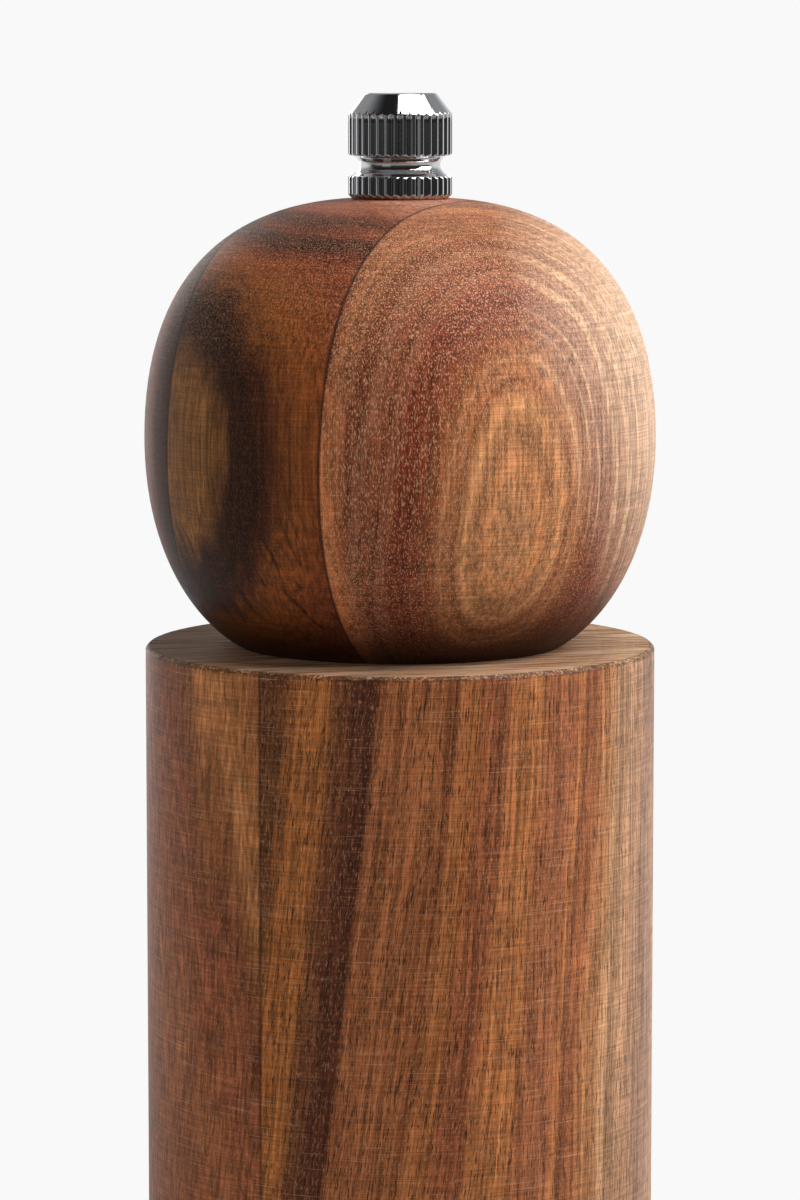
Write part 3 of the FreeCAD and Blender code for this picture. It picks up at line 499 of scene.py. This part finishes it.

# %% [markdown]
# The left board and the joints
#
# Only a strip of the left board is seen, so its tones follow the place across the boards. The three are
# then joined: a board begins where that place passes its glue line. Towards the landing under the ball
# the wood is darkened as painted shade.

# %% Join the head's boards
half_joint = 0.15
side_way = add(tree, "MapRange", {0: layer, 1: -29.0, 2: -13.0})
left = add(tree, "ValToRGB", {0: side_way}, stops=[
    (0.0, "#6A4634"), (0.35, "#5A3828"), (0.60, "#7A4631"), (0.78, "#4C2F23"), (0.92, "#3C261C"),
    (1.0, "#4A2E21")])
glued = add(tree, "MapRange", {0: layer, 1: right_glue - half_joint, 2: right_glue + half_joint})
wood = add(tree, "Mix", {0: glued, 6: middle, 7: right}, out=2, data_type="RGBA")
glued_left = add(tree, "MapRange", {0: layer, 1: left_glue + half_joint, 2: left_glue - half_joint})
wood = add(tree, "Mix", {0: glued_left, 6: wood, 7: left}, out=2, data_type="RGBA")
# painted shade under the ball: from 148 mm down to 138 mm the wood darkens to 0.12 of its tone
deep = add(tree, "MapRange", {0: height, 1: 148.0, 2: 138.0, 3: 1.0, 4: 0.12},
           interpolation_type="SMOOTHSTEP")
wood = add(tree, "VectorMath", {0: wood, "Scale": deep}, operation="SCALE")
print("glue lines at", left_glue, "and", right_glue, "mm across the boards")

# %% [markdown]
# Pores and sanding marks of the head
#
# Acacia's pores are 0.1 to 0.2 mm across, about a pixel of the picture, and run with the fibre. On the
# crown the surface cuts across them and they show as dots, and at the sides as short dashes, which a
# noise stretched along the trunk gives by itself. Single fibres and sanding scratches are finer than a
# pixel. So they are drawn coarser than they are, as bundles 0.4 mm wide and as lines 0.16 mm apart. The
# last sanding was done on the lathe, so its scratches run round the ball.

# %% Head surface
fibre_dark, fibre_light = 0.61, 1.42
wood, fibre = lay_fibres(tree, wood, place, across=0.38, along=22, dark=fibre_dark, light=fibre_light)
# pale pores, more of them near the crown and on the right board, and fewer where the shade under the ball is
# painted
pore = wood_grain(tree, place, across=0.12, along=0.45, low=0.55, high=0.62, detail=1.0)
upper = add(tree, "MapRange", {0: height, 1: 168.0, 2: 183.0}, interpolation_type="SMOOTHSTEP")
few = add(tree, "MapRange", {0: upper, 3: 0.06, 4: 0.55})
many = add(tree, "MapRange", {0: upper, 3: 0.62, 4: 0.95})
some = add(tree, "Mix", {0: glued, 2: few, 3: many})
some = add(tree, "Math", {0: some, 1: deep}, operation="MULTIPLY")
speck = add(tree, "Math", {0: pore, 1: some}, operation="MULTIPLY")
wood = add(tree, "Mix", {0: speck, 6: wood, 7: linear("#D2A27A")}, out=2, data_type="RGBA")
# dark pits, where a pore took up oil
pit = wood_grain(tree, place, across=0.13, along=1.1, low=0.58, high=0.70, detail=1.0)
pit_dark = add(tree, "Math", {0: pit, 1: 0.55}, operation="MULTIPLY")
wood = add(tree, "Mix", {0: pit_dark, 6: wood, 7: linear("#3A1D12")}, out=2, data_type="RGBA")
wood, scratch = lay_scratches(tree, wood, place, length=7, apart=0.16, top=0.72, dark=0.83, light=1.26)
wood = draw_glue(tree, wood, layer, right_glue, wide=0.24, thin=0.06, share=0.8, code="#1E0F09")
wood = draw_glue(tree, wood, layer, left_glue, wide=0.35, thin=0.08, share=0.8, code="#1E0F09")
satin = add(tree, "MapRange", {0: fibre, 1: fibre_dark, 2: fibre_light, 3: 0.48, 4: 0.60})
oil_wood(tree, wood, satin, pore, scratch, pore_depth=0.6)
print(head_wood.name, "has", len(tree.nodes), "nodes")

# %% [markdown]
# The head
#
# The head is one turning: a spigot that centres it in the barrel, a ball that swells from a narrow
# landing, and a flat seat for the knob, with a hole for the shaft right through. The ball's outline is
# two cubic curves that meet at its widest place, the same two as in the model.

# %% Turn the head
# the model's sizes in mm
body_radius, equator_height = 29, 161.1
rim_height, landing_radius = 137.5, 18.35
knob_floor, knob_seat = 188.1, 5.90
shaft_hole = 4.315
spigot_radius, spigot_floor, spigot_bevel = 13.75, 125.5, 0.8


def cubic(a, b, c, d, count=32):
    """Cubic curve: a (1-t)^3 + 3 b t (1-t)^2 + 3 c t^2 (1-t) + d t^3."""
    t = np.linspace(0, 1, count)[:, None]
    a, b, c, d = np.array([a, b, c, d], float)
    return a * (1 - t) ** 3 + 3 * b * t * (1 - t) ** 2 + 3 * c * t ** 2 * (1 - t) + d * t ** 3


landing = (landing_radius, rim_height)
equator = (body_radius, equator_height)
crown = (knob_seat, knob_floor)
ball = np.vstack([
    cubic(landing, (23.398, 140.226), (body_radius, 148.026), equator),
    cubic(equator, (body_radius, 178.731), (20.153, 187.302), crown)[1:]])
ball = np.column_stack([ball, np.zeros(len(ball))]).tolist()
outline = turned_outline(ball + [
    (shaft_hole, knob_floor, 0.15), (shaft_hole, spigot_floor, 0.3),
    (spigot_radius - spigot_bevel, spigot_floor, 0.2), (spigot_radius, spigot_floor + spigot_bevel, 0.2),
    (spigot_radius, rim_height, 0)])
head = make_piece("turned_head", [turn(outline, columns=256)])
seat(head, head_wood, "top", "head")

# %% [markdown]
# Oiled acacia of the barrel
#
# The barrel was turned from a thick board and a thinner one, glued along the left. The thick one was
# cut far from its pith, so its rings run up the barrel as nearly straight bands that lean a little. The
# thinner one was sawn at a slant, so its bands run down to the right.

# %% Boards of the barrel
barrel_glue, barrel_joint = -6.1, 0.1
barrel_wood, tree = new_finish("oiled_acacia_barrel")
# the same open-pored hardwood, with dark pore dashes and pale sanding marks round the barrel
place, bent = wood_place(tree, amount=2.2)
height = add(tree, "SeparateXYZ", {0: place}, out=2)
layer = add(tree, "VectorMath", {0: place, 1: (0.94, -0.34, 0.0)}, out=1, operation="DOT_PRODUCT")
# the bands lean by 0.127 on the left and stand nearly upright towards the right
lean_height = 110.0
side_place = add(tree, "SeparateXYZ", {0: place})
shear = add(tree, "MapRange", {0: side_place, 1: 0.0, 2: 26.0, 3: 0.127, 4: 0.01})
above = add(tree, "Math", {0: height, 1: lean_height}, operation="SUBTRACT")
shear = add(tree, "Math", {0: shear, 1: above}, operation="MULTIPLY")
shear = add(tree, "CombineXYZ", {0: shear})
upright = add(tree, "VectorMath", {0: bent, 1: shear}, operation="SUBTRACT")
own, distance = board_rings(tree, upright, (-80, 5, lean_height), (0, 0, 0))
main = ring_tones(tree, distance, [
    (60.0, "#834C2D"), (66.0, "#704226"), (69.0, "#683E23"), (71.4, "#6B4023"), (72.8, "#9F5E2F"),
    (76.0, "#A36231"), (77.8, "#724227"), (79.6, "#5D3320"), (81.7, "#522A1B"), (82.2, "#955835"),
    (86.0, "#9A5C37"), (89.2, "#8D5330"), (89.8, "#7E4629"), (90.6, "#9F6037"), (92.2, "#9B5C31"),
    (93.2, "#8A4E2E"), (95.0, "#864B2E"), (96.2, "#A16238"), (98.6, "#A36438"), (99.6, "#935737"),
    (101.6, "#985B3B"), (102.5, "#A3643A"), (102.8, "#7E492F"), (103.3, "#9C5C38"), (104.8, "#A06C46"),
    (105.6, "#B08460"), (107.2, "#A67C5E"), (108.2, "#957058"), (110.0, "#AA8468"), (112.0, "#96664A")])
slant = add(tree, "VectorMath", {0: bent, 1: (1.0, 0, 0.26)}, out=1, operation="DOT_PRODUCT")
# the slanted bands stray in waves 6 mm across and 30 mm along
stray = add(tree, "VectorMath", {0: place, 1: (1 / 6, 1 / 6, 1 / 30)}, operation="MULTIPLY")
stray = add(tree, "TexNoise", {"Vector": stray, "Scale": 1.0, "Detail": 2.0})
slant = add(tree, "Math", {0: stray, 1: 12.0, 2: slant}, operation="MULTIPLY_ADD")
side = ring_tones(tree, slant, [
    (-14.0, "#8A4F33"), (-6.0, "#9C5C3E"), (1.0, "#8C5032"), (6.0, "#945837"), (10.0, "#8E5134"),
    (12.5, "#8C4F33"), (15.0, "#7C462C"), (17.0, "#86512F"), (19.5, "#AC6F43"), (23.0, "#9C6238"),
    (28.0, "#8C5032"), (36.0, "#945835")])
glued = add(tree, "MapRange", {0: layer, 1: barrel_glue - barrel_joint, 2: barrel_glue + barrel_joint})
wood = add(tree, "Mix", {0: glued, 6: side, 7: main}, out=2, data_type="RGBA")
print("barrel boards meet at", barrel_glue, "mm across them")

# %% [markdown]
# Pores and sanding marks of the barrel
#
# The barrel's wall cuts along the fibre, so its pores show as dark dashes, with some long ones and a few
# pale flecks between them. Coarse sanding left pale grazes round the barrel, and finer scratches lie
# over everything.

# %% Barrel surface
wood, fibre = lay_fibres(tree, wood, own, across=0.40, along=26, dark=0.60, light=1.46)
# the thick board has more pores
some = add(tree, "Mix", {0: glued, 2: 0.32, 3: 0.76})
pore = wood_grain(tree, own, across=0.13, along=1.4, low=0.56, high=0.68, detail=1.0)
dash = add(tree, "Math", {0: pore, 1: some}, operation="MULTIPLY")
wood = add(tree, "Mix", {0: dash, 6: wood, 7: linear("#2E180F")}, out=2, data_type="RGBA")
fleck = wood_grain(tree, own, across=0.14, along=0.6, low=0.56, high=0.70, detail=1.0)
fleck = add(tree, "Math", {0: fleck, 1: 0.36}, operation="MULTIPLY")
wood = add(tree, "Mix", {0: fleck, 6: wood, 7: linear("#C8986C")}, out=2, data_type="RGBA")
long_pore = wood_grain(tree, own, across=0.17, along=3.2, low=0.63, high=0.70, detail=1.0)
long_pore = add(tree, "Math", {0: long_pore, 1: some}, operation="MULTIPLY")
wood = add(tree, "Mix", {0: long_pore, 6: wood, 7: linear("#20100A")}, out=2, data_type="RGBA")
graze = wood_grain(tree, place, across=7.0, along=0.10, low=0.63, high=0.75, detail=1.0)
graze = add(tree, "Math", {0: graze, 1: 0.38}, operation="MULTIPLY")
wood = add(tree, "Mix", {0: graze, 6: wood, 7: linear("#C8A080")}, out=2, data_type="RGBA")
wood, scratch = lay_scratches(tree, wood, place, length=6, apart=0.2, top=0.75, dark=0.82, light=1.31)
wood = draw_glue(tree, wood, layer, barrel_glue, wide=0.28, thin=0.06, share=0.55, code="#24130B")
print("pores, grazes and scratches are on", barrel_wood.name)

# %% [markdown]
# Bare wood of the barrel
#
# The top face and the bore were left unoiled. They lie inside the outer wall, so the distance from the
# axis finds them. They are paler, and streaked where the saw and the tool tore them. Along the rim the
# broken fibres hold dirt. On its bevel the radius and the height always add up to the same sum, which
# is enough to find the bevel.

# %% Bare faces
rim_bevel = 0.4
bevel_sum = body_radius + rim_height - rim_bevel
reach = add(tree, "VectorMath", {0: place, 1: (1, 1, 0)}, operation="MULTIPLY")
reach = add(tree, "VectorMath", {0: reach}, out=1, operation="LENGTH")
raw = add(tree, "MapRange", {0: reach, 1: body_radius - 0.05, 2: body_radius - rim_bevel})
# tears 11 mm long and half a millimetre wide, turned by 15 degrees
torn = add(tree, "Mapping", {0: place, 2: (0, 0, np.radians(15)), 3: (11, 0.5, 9)}, vector_type="TEXTURE")
torn = add(tree, "TexNoise", {"Vector": torn, "Scale": 1.0, "Detail": 4.0, "Roughness": 0.65})
bare = add(tree, "ValToRGB", {0: torn}, stops=[
    (0.36, "#3A2417"), (0.44, "#906A49"), (0.55, "#C2A284"), (0.68, "#DCC6AE")])
bare_share = add(tree, "Math", {0: raw, 1: 0.70}, operation="MULTIPLY")
wood = add(tree, "Mix", {0: bare_share, 6: wood, 7: bare}, out=2, data_type="RGBA")
rim = add(tree, "Math", {0: reach, 1: height}, operation="ADD")
rim = add(tree, "MapRange", {0: rim, 1: bevel_sum - 0.25, 2: bevel_sum - 0.05})
chip = wood_grain(tree, place, across=0.28, along=0.28, low=0.40, high=0.52)
chip = add(tree, "Math", {0: chip, 1: rim}, operation="MULTIPLY")
chip = add(tree, "Math", {0: chip, 1: 0.75}, operation="MULTIPLY")
wood = add(tree, "Mix", {0: chip, 6: wood, 7: linear("#35200F")}, out=2, data_type="RGBA")
satin = add(tree, "MapRange", {0: raw, 3: 0.46, 4: 0.70})
oil_wood(tree, wood, satin, pore, scratch, pore_depth=0.8)
print(barrel_wood.name, "has", len(tree.nodes), "nodes")

# %% [markdown]
# The barrel
#
# The barrel is a tube with a bevelled foot, a bore for the peppercorns and a stepped seat for the
# grinder. Its upper rim was only just broken with sandpaper, and is a little ragged. That shows as
# small dips along the edge, so the rim's rows of the grid are pulled in by a rough wave.

# %% Turn the barrel
foot_bevel = 1.2
bore_radius, bore_bevel = 14, 0.8
grinder_radius, grinder_top = 17.2, 29.5
recess_radius, recess_top = 22.4, 5.2
columns = 384
outline = turned_outline([
    (body_radius - foot_bevel, 0, 0.3), (body_radius, foot_bevel, 0.4),
    (body_radius, rim_height - rim_bevel, 0.15), (body_radius - rim_bevel, rim_height, 0.15),
    (bore_radius + bore_bevel, rim_height, 0.15), (bore_radius, rim_height - bore_bevel, 0.15),
    (bore_radius, grinder_top, 0.1), (grinder_radius, grinder_top, 0.1),
    (grinder_radius, recess_top, 0.1), (recess_radius, recess_top, 0.1), (recess_radius, 0, 0.3)],
    step=2.2)
grid = turn(outline, columns)
angle = np.arange(columns) / columns * 2 * np.pi
# waves of 20 to 150 turns round the rim are added up, and only where they are high enough is there a dip
wave_count = 40
rim_edge = (28.85, 137.3)
deepest = 0.10
waves = np.random.default_rng(5)
count = waves.integers(20, 150, wave_count)[:, None]
rough = np.sin(count * angle + waves.uniform(0, 6.28, (wave_count, 1))).sum(0) / 9
dip = np.clip(rough - 0.35, 0, 1.5) * deepest
off_edge = (outline[:, 0] - rim_edge[0]) ** 2 + (outline[:, 1] - rim_edge[1]) ** 2
edge = np.exp(-off_edge / 0.10)[:, None]
pull = 1 - edge * dip / outline[:, :1]
grid[..., :2] *= pull[..., None]
grid[..., 2] -= edge * dip
barrel = make_piece("turned_barrel", [grid])
seat(barrel, barrel_wood, "base", "barrel")

# %% [markdown]
# Chromed knob
#
# The knob is brass, turned, knurled and chrome-plated. Its two bands have 36 right-angled valleys,
# and plating leaves their edges a little soft. So the grid's radius is the smaller of the turned
# outline and the valley's two walls, and the two are melted into each other over a twentieth
# of a millimetre. At the top the wheel lifted out, so the valleys grow shallow there.

# %% Turn and knurl the knob
band_radius = 5.92
valley_count, valley_depth, valley_floor = 36, 0.36, 0.03
lift_start, lift_run, lift_height = 197.4, 0.3, 0.18
melt_width = 0.05
outline = turned_outline([
    (0, 197.7, 0), (2.55, 197.7, 0.1), (2.55, knob_floor, 0.1), (5.37, knob_floor, 0.1),
    (band_radius, 188.65, 0.12), (band_radius, 190.52, 0.06), (5.74, 190.7, 0.06), (5.47, 190.7, 0.05),
    (5.00, 191.05, 0.20), (4.62, 191.55, 0.2), (4.55, 191.9, 0.15), (4.62, 192.3, 0.15),
    (4.95, 192.75, 0.2), (5.47, 193.0, 0.08), (5.74, 193.0, 0.06), (band_radius, 193.18, 0.06),
    (band_radius, 197.65, 0.12), (4.10, 200.0, 0.20), (0, 200.0, 0)],
    step=0.45, closed=False)
columns = valley_count * 12
angle = np.arange(columns) / columns * 2 * np.pi
r = outline[:, :1] + 0 * angle
valley_angle = 2 * np.pi / valley_count
away = np.abs((angle / valley_angle + 0.5) % 1 - 0.5) * valley_angle * band_radius
lifted = np.clip((outline[:, 1:] - lift_start) / lift_run, 0, 1)
wall = band_radius - valley_depth + lift_height * lifted + np.sqrt(away ** 2 + valley_floor ** 2)
melt = np.clip(0.5 + 0.5 * (wall - r) / melt_width, 0, 1)
r = wall * (1 - melt) + r * melt - melt_width * melt * (1 - melt)
grid = np.stack([r * np.cos(angle), r * np.sin(angle), outline[:, 1:] + 0 * angle], -1)
knob = make_piece("knurled_knob", [grid], close=(False, True))

# turning lines are finer than a pixel, so they are drawn coarser, about 2.5 mm long and 0.11 mm high
lines_per_metre = (400, 400, 9000)
chrome, tree = new_finish("chromed_brass")
# bright plating over a turned surface: a near mirror with the faintest lines round it
place = add(tree, "TexCoord").node.outputs["Object"]
lines = add(tree, "VectorMath", {0: place, 1: lines_per_metre}, operation="MULTIPLY")
lines = add(tree, "TexNoise", {"Vector": lines, "Scale": 1.0, "Detail": 2.0})
gloss = add(tree, "MapRange", {0: lines, 1: 0.3, 2: 0.7, 3: 0.05, 4: 0.08})
tint = add(tree, "ValToRGB", {0: lines}, stops=[(0.3, "#C9CACD"), (0.7, "#CDCED0")])
shader = add(tree, "BsdfPrincipled", {"Base Color": tint, "Metallic": 1.0, "Roughness": gloss})
add(tree, "OutputMaterial", {"Surface": shader})
seat(knob, chrome, "knob", "finial_knob")

# %% [markdown]
# Finishes of the works
#
# Inside are steels, plastics and ceramic. Each could have its own long recipe, but they differ mainly
# in tone, in gloss and in the size of their grain. So one function takes these three and a relief, and
# every finish is a line that says what the stuff is and how it was made.

# %% Works finishes
def works_finish(name, tones, grain, gloss, metal, relief=0.004):
    """Two tones and two roughnesses mixed by a noise whose grain is three lengths in mm, with a bump."""
    material, tree = new_finish(name)
    place = add(tree, "TexCoord").node.outputs["Object"]
    place = add(tree, "VectorMath", {0: place, 1: [1 / (MM * mm) for mm in grain]}, operation="MULTIPLY")
    noise = add(tree, "TexNoise", {"Vector": place, "Scale": 1.0, "Detail": 3.0})
    tone = add(tree, "ValToRGB", {0: noise}, stops=[(0.3, tones[0]), (0.7, tones[1])])
    rough = add(tree, "MapRange", {0: noise, 1: 0.3, 2: 0.7, 3: gloss[0], 4: gloss[1]})
    bump = add(tree, "Bump", {"Strength": 0.4, "Distance": relief * MM, "Height": noise})
    shader = add(tree, "BsdfPrincipled", {
        "Base Color": tone, "Roughness": rough, "Metallic": metal, "Normal": bump})
    add(tree, "OutputMaterial", {"Surface": shader})
    return material


# drawn along its length, so its faint lines run that way
bar_steel = works_finish("drawn_steel", ("#A9A8A5", "#BDBCB9"), (0.15, 0.15, 6), (0.22, 0.34), 1.0)
# rolled and blanked sheet: even, with a slight cloud
pressed_steel = works_finish("pressed_steel", ("#A3A3A1", "#B4B4B2"), (1.2, 1.2, 1.2), (0.28, 0.42), 1.0)
# zinc plate with a clear passivation, a little blue
screw_steel = works_finish("zinc_plated_steel", ("#A9ADB2", "#BCC0C4"), (0.5, 0.5, 0.5), (0.24, 0.36), 1.0)
# hardened and phosphated: nearly black and dry
clip_steel = works_finish("phosphated_steel", ("#2E2D2C", "#403F3D"), (0.3, 0.3, 0.3), (0.40, 0.55), 1.0)
# hard-drawn wire, wiped with oil
spring_steel = works_finish("oiled_spring_wire", ("#8E8D8A", "#A5A4A0"), (0.2, 0.2, 0.2), (0.22, 0.32), 1.0)
# nylon moulded in a spark-eroded tool, so it has a fine even grain
housing_plastic = works_finish(
    "moulded_nylon", ("#1F1F20", "#2A2A2B"), (0.25, 0.25, 0.25), (0.42, 0.55), 0.0, 0.01)
# acetal for a bearing: milky and slippery
bearing_plastic = works_finish("moulded_acetal", ("#E3E1DA", "#EBE9E3"), (0.8, 0.8, 0.8), (0.30, 0.38), 0.0)
# alumina, pressed and fired: chalky with a faint glint
burr_ceramic = works_finish(
    "sintered_alumina", ("#D9D4C8", "#E8E4DA"), (0.18, 0.18, 0.18), (0.50, 0.68), 0.0, 0.01)

finishes = {
    "drive_plate": pressed_steel, "clip_washer": pressed_steel, "retaining_clip": clip_steel,
    "grinder_housing": housing_plastic, "stator_retainer": housing_plastic, "rotor_carrier": housing_plastic,
    "shaft_bush": bearing_plastic, "stator_burr": burr_ceramic, "rotor_burr": burr_ceramic}
for node, material in finishes.items():
    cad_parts[node].data.materials.clear()
    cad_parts[node].data.materials.append(material)
print("finished", len(finishes), "nodes of the works")

# %% [markdown]
# Shaft
#
# The shaft is drawn square bar with a journal turned at its foot and a thread cut at its top. Round
# the axis its radius is that of an eight-sided section along the bar and a winding triangle wave along
# the thread, so both come from one grid over angle and height.

# %% Make the shaft
# half the width across the bar's flats, and across the small flats that break its edges
half_flats, half_corners = 2.75, 3.4648
bar_start, bar_end, bar_round = 4.2, 185.1, 0.1
journal_radius, groove_radius, neck_radius = 2.4, 1.9, 2.0
thread_start, thread_radius, thread_pitch, thread_depth = 185.3, 2.5, 0.8, 0.45
columns, thread_step, edge_share = 96, 0.1, 0.97
low, high = (corner.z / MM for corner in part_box("shaft"))
angle = np.arange(columns) / columns * 2 * np.pi
turned_eighth = angle + np.pi / 4
square = np.minimum(
    half_flats / np.maximum(np.abs(np.cos(angle)), np.abs(np.sin(angle))),
    half_corners / np.maximum(np.abs(np.cos(turned_eighth)), np.abs(np.sin(turned_eighth))))


def threaded(z, angle, outer, pitch, deep):
    """Radius of a right-hand thread: the outer radius less a triangle wave of z / pitch - a / 2 pi."""
    phase = (z / pitch - angle / (2 * np.pi)) % 1
    return outer - deep * np.abs(2 * phase - 1)


heights = np.arange(thread_start, high - 0.55, thread_step)[:, None]
foot = np.array([
    (low, 0), (low, 2.2), (low + 0.2, journal_radius), (low + 0.8, journal_radius),
    (low + 0.8, groove_radius), (low + 1.4, groove_radius), (low + 1.4, journal_radius),
    (bar_start, journal_radius)])
tip = np.array([(high - 0.5, 2.3), (high, 1.9), (high, 0)])
bar_heights = [bar_start, bar_start + bar_round, bar_end - bar_round, bar_end, bar_end]
r = np.vstack([
    foot[:, 1:] + 0 * angle, square * edge_share, square, square, square * edge_share,
    neck_radius + 0 * angle,
    threaded(heights, angle, thread_radius, thread_pitch, thread_depth), tip[:, 1:] + 0 * angle])
z = np.concatenate([foot[:, 0], bar_heights, heights[:, 0], tip[:, 0]])[:, None] + 0 * angle
grid = np.stack([r * np.cos(angle), r * np.sin(angle), z], -1)
shaft = make_piece("threaded_shaft", [grid], close=(False, True))
seat(shaft, bar_steel, "spindle", "shaft")

# %% [markdown]
# Screws
#
# Two pan-head screws hold the drive plate and three countersunk ones hold the grinder. A cross is
# punched into each head. It could be cut with a boolean, but a fine grid over the head's face can
# simply be pushed in wherever the cross covers it, and the shank takes the thread's wave.

# %% Make the screws
half_arm, half_span, cross_depth = 0.40, 1.32, 0.85
screw_pitch, screw_depth = 0.9, 0.28


def make_screws(outline, face, core, thread, places, base):
    """A screw's outline carried round, its head pushed in by a cross, its shank threaded, and one copy
    set at each place. The cross covers points with one coordinate under half an arm and the other under
    half the span, and its walls slope over about a tenth of a millimetre."""
    columns, face_rows, shank_step = 72, 30, 0.09
    angle = np.arange(columns) / columns * 2 * np.pi
    flat = np.column_stack([np.linspace(0, face, face_rows), np.zeros(face_rows)])
    shank = np.arange(*thread, shank_step)
    rows = np.vstack([flat, outline[0], np.column_stack([0 * shank + core, shank]), outline[1]])
    r = rows[:, :1] + 0 * angle
    z = rows[:, 1:] + 0 * angle
    on_shank = (z >= thread[0]) & (z < thread[1]) & (np.abs(r - core) < 1e-6)
    r = np.where(on_shank, threaded(z, angle, core, screw_pitch, screw_depth), r)
    x, y = r * np.cos(angle), r * np.sin(angle)
    arm = np.clip((half_arm - np.minimum(np.abs(x), np.abs(y))) / 0.08, 0, 1)
    end = np.clip((half_span - np.maximum(np.abs(x), np.abs(y))) / 0.10, 0, 1)
    z = z + cross_depth * arm * end * (rows[:, 1:] < 1e-6)
    return [np.stack([x + px, y + py, z + base], -1) for px, py in places]


plate_ring, housing_ring = 8.6, 19.8
# a screw's outline is the (radius, height) points of its head and those of its tip
bend = np.radians(np.linspace(-90, 0, 6))
pan = np.column_stack([1.6 + 0.7 * np.cos(bend), 0.7 + 0.7 * np.sin(bend)])
pan_screw = np.vstack([pan, [(2.3, 1.4), (1.1, 1.4)]]), np.array([(1.1, 11.0), (0, 12.4)])
pair = [(plate_ring, 0), (-plate_ring, 0)]
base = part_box("drive_plate_screws")[0].z / MM
grids = make_screws(pan_screw, face=1.55, core=1.1, thread=(1.5, 10.9), places=pair, base=base)
plate_screws = make_piece("cross_head_plate_screws", grids, close=(False, True))
seat(plate_screws, screw_steel, "top", "drive_plate_screws")
sunk_screw = np.array([(2.3, 0.02), (1.3, 1.0)]), np.array([(1.3, 9.6), (0, 11.0)])
thirds = np.radians([0, 120, 240])
three = np.column_stack([housing_ring * np.cos(thirds), housing_ring * np.sin(thirds)])
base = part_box("housing_screws")[0].z / MM
grids = make_screws(sunk_screw, face=2.28, core=1.3, thread=(1.1, 9.5), places=three, base=base)
housing_screws = make_piece("cross_head_housing_screws", grids, close=(False, True))
seat(housing_screws, screw_steel, "base", "housing_screws")

# %% [markdown]
# Spring
#
# The spring pushes the rotor down, and its wire is a circle carried along a helix. Its upper end stays
# with the bush and its lower end follows the spindle. The piece is one coil wound to the spring's
# height in the model, and it is not attached to either body.

# %% Wind the spring
coil_turns, coil_radius, wire_radius = 5, 4.31, 0.45
wire_rows, wire_columns = 361, 14
t = np.linspace(0, 1, wire_rows)[:, None]
turn_angle = t * coil_turns * 2 * np.pi
low, high = (corner.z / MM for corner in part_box("spring"))
out_way = np.concatenate([np.cos(turn_angle), np.sin(turn_angle), 0 * t], 1)
climb = low + wire_radius + (high - low - 2 * wire_radius) * t
middle_line = out_way * coil_radius + np.concatenate([0 * t, 0 * t, climb], 1)
along = np.gradient(middle_line, axis=0)
along /= np.linalg.norm(along, axis=1, keepdims=True)
up_way = np.cross(out_way, along)
section = np.arange(wire_columns) / wire_columns * 2 * np.pi
# the wire keeps its thickness almost to its ends, where it closes in a blunt tip
wire = wire_radius * np.sqrt(np.clip(1 - np.abs(2 * t - 1) ** 160, 0, 1)) + 1e-6
grid = (middle_line[:, None] + out_way[:, None] * (wire * np.cos(section))[..., None]
        + up_way[:, None] * (wire * np.sin(section))[..., None])
spring = make_piece("wound_spring", [grid], close=(False, True))
spring.data.materials.append(spring_steel)
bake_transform(spring)
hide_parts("spring")
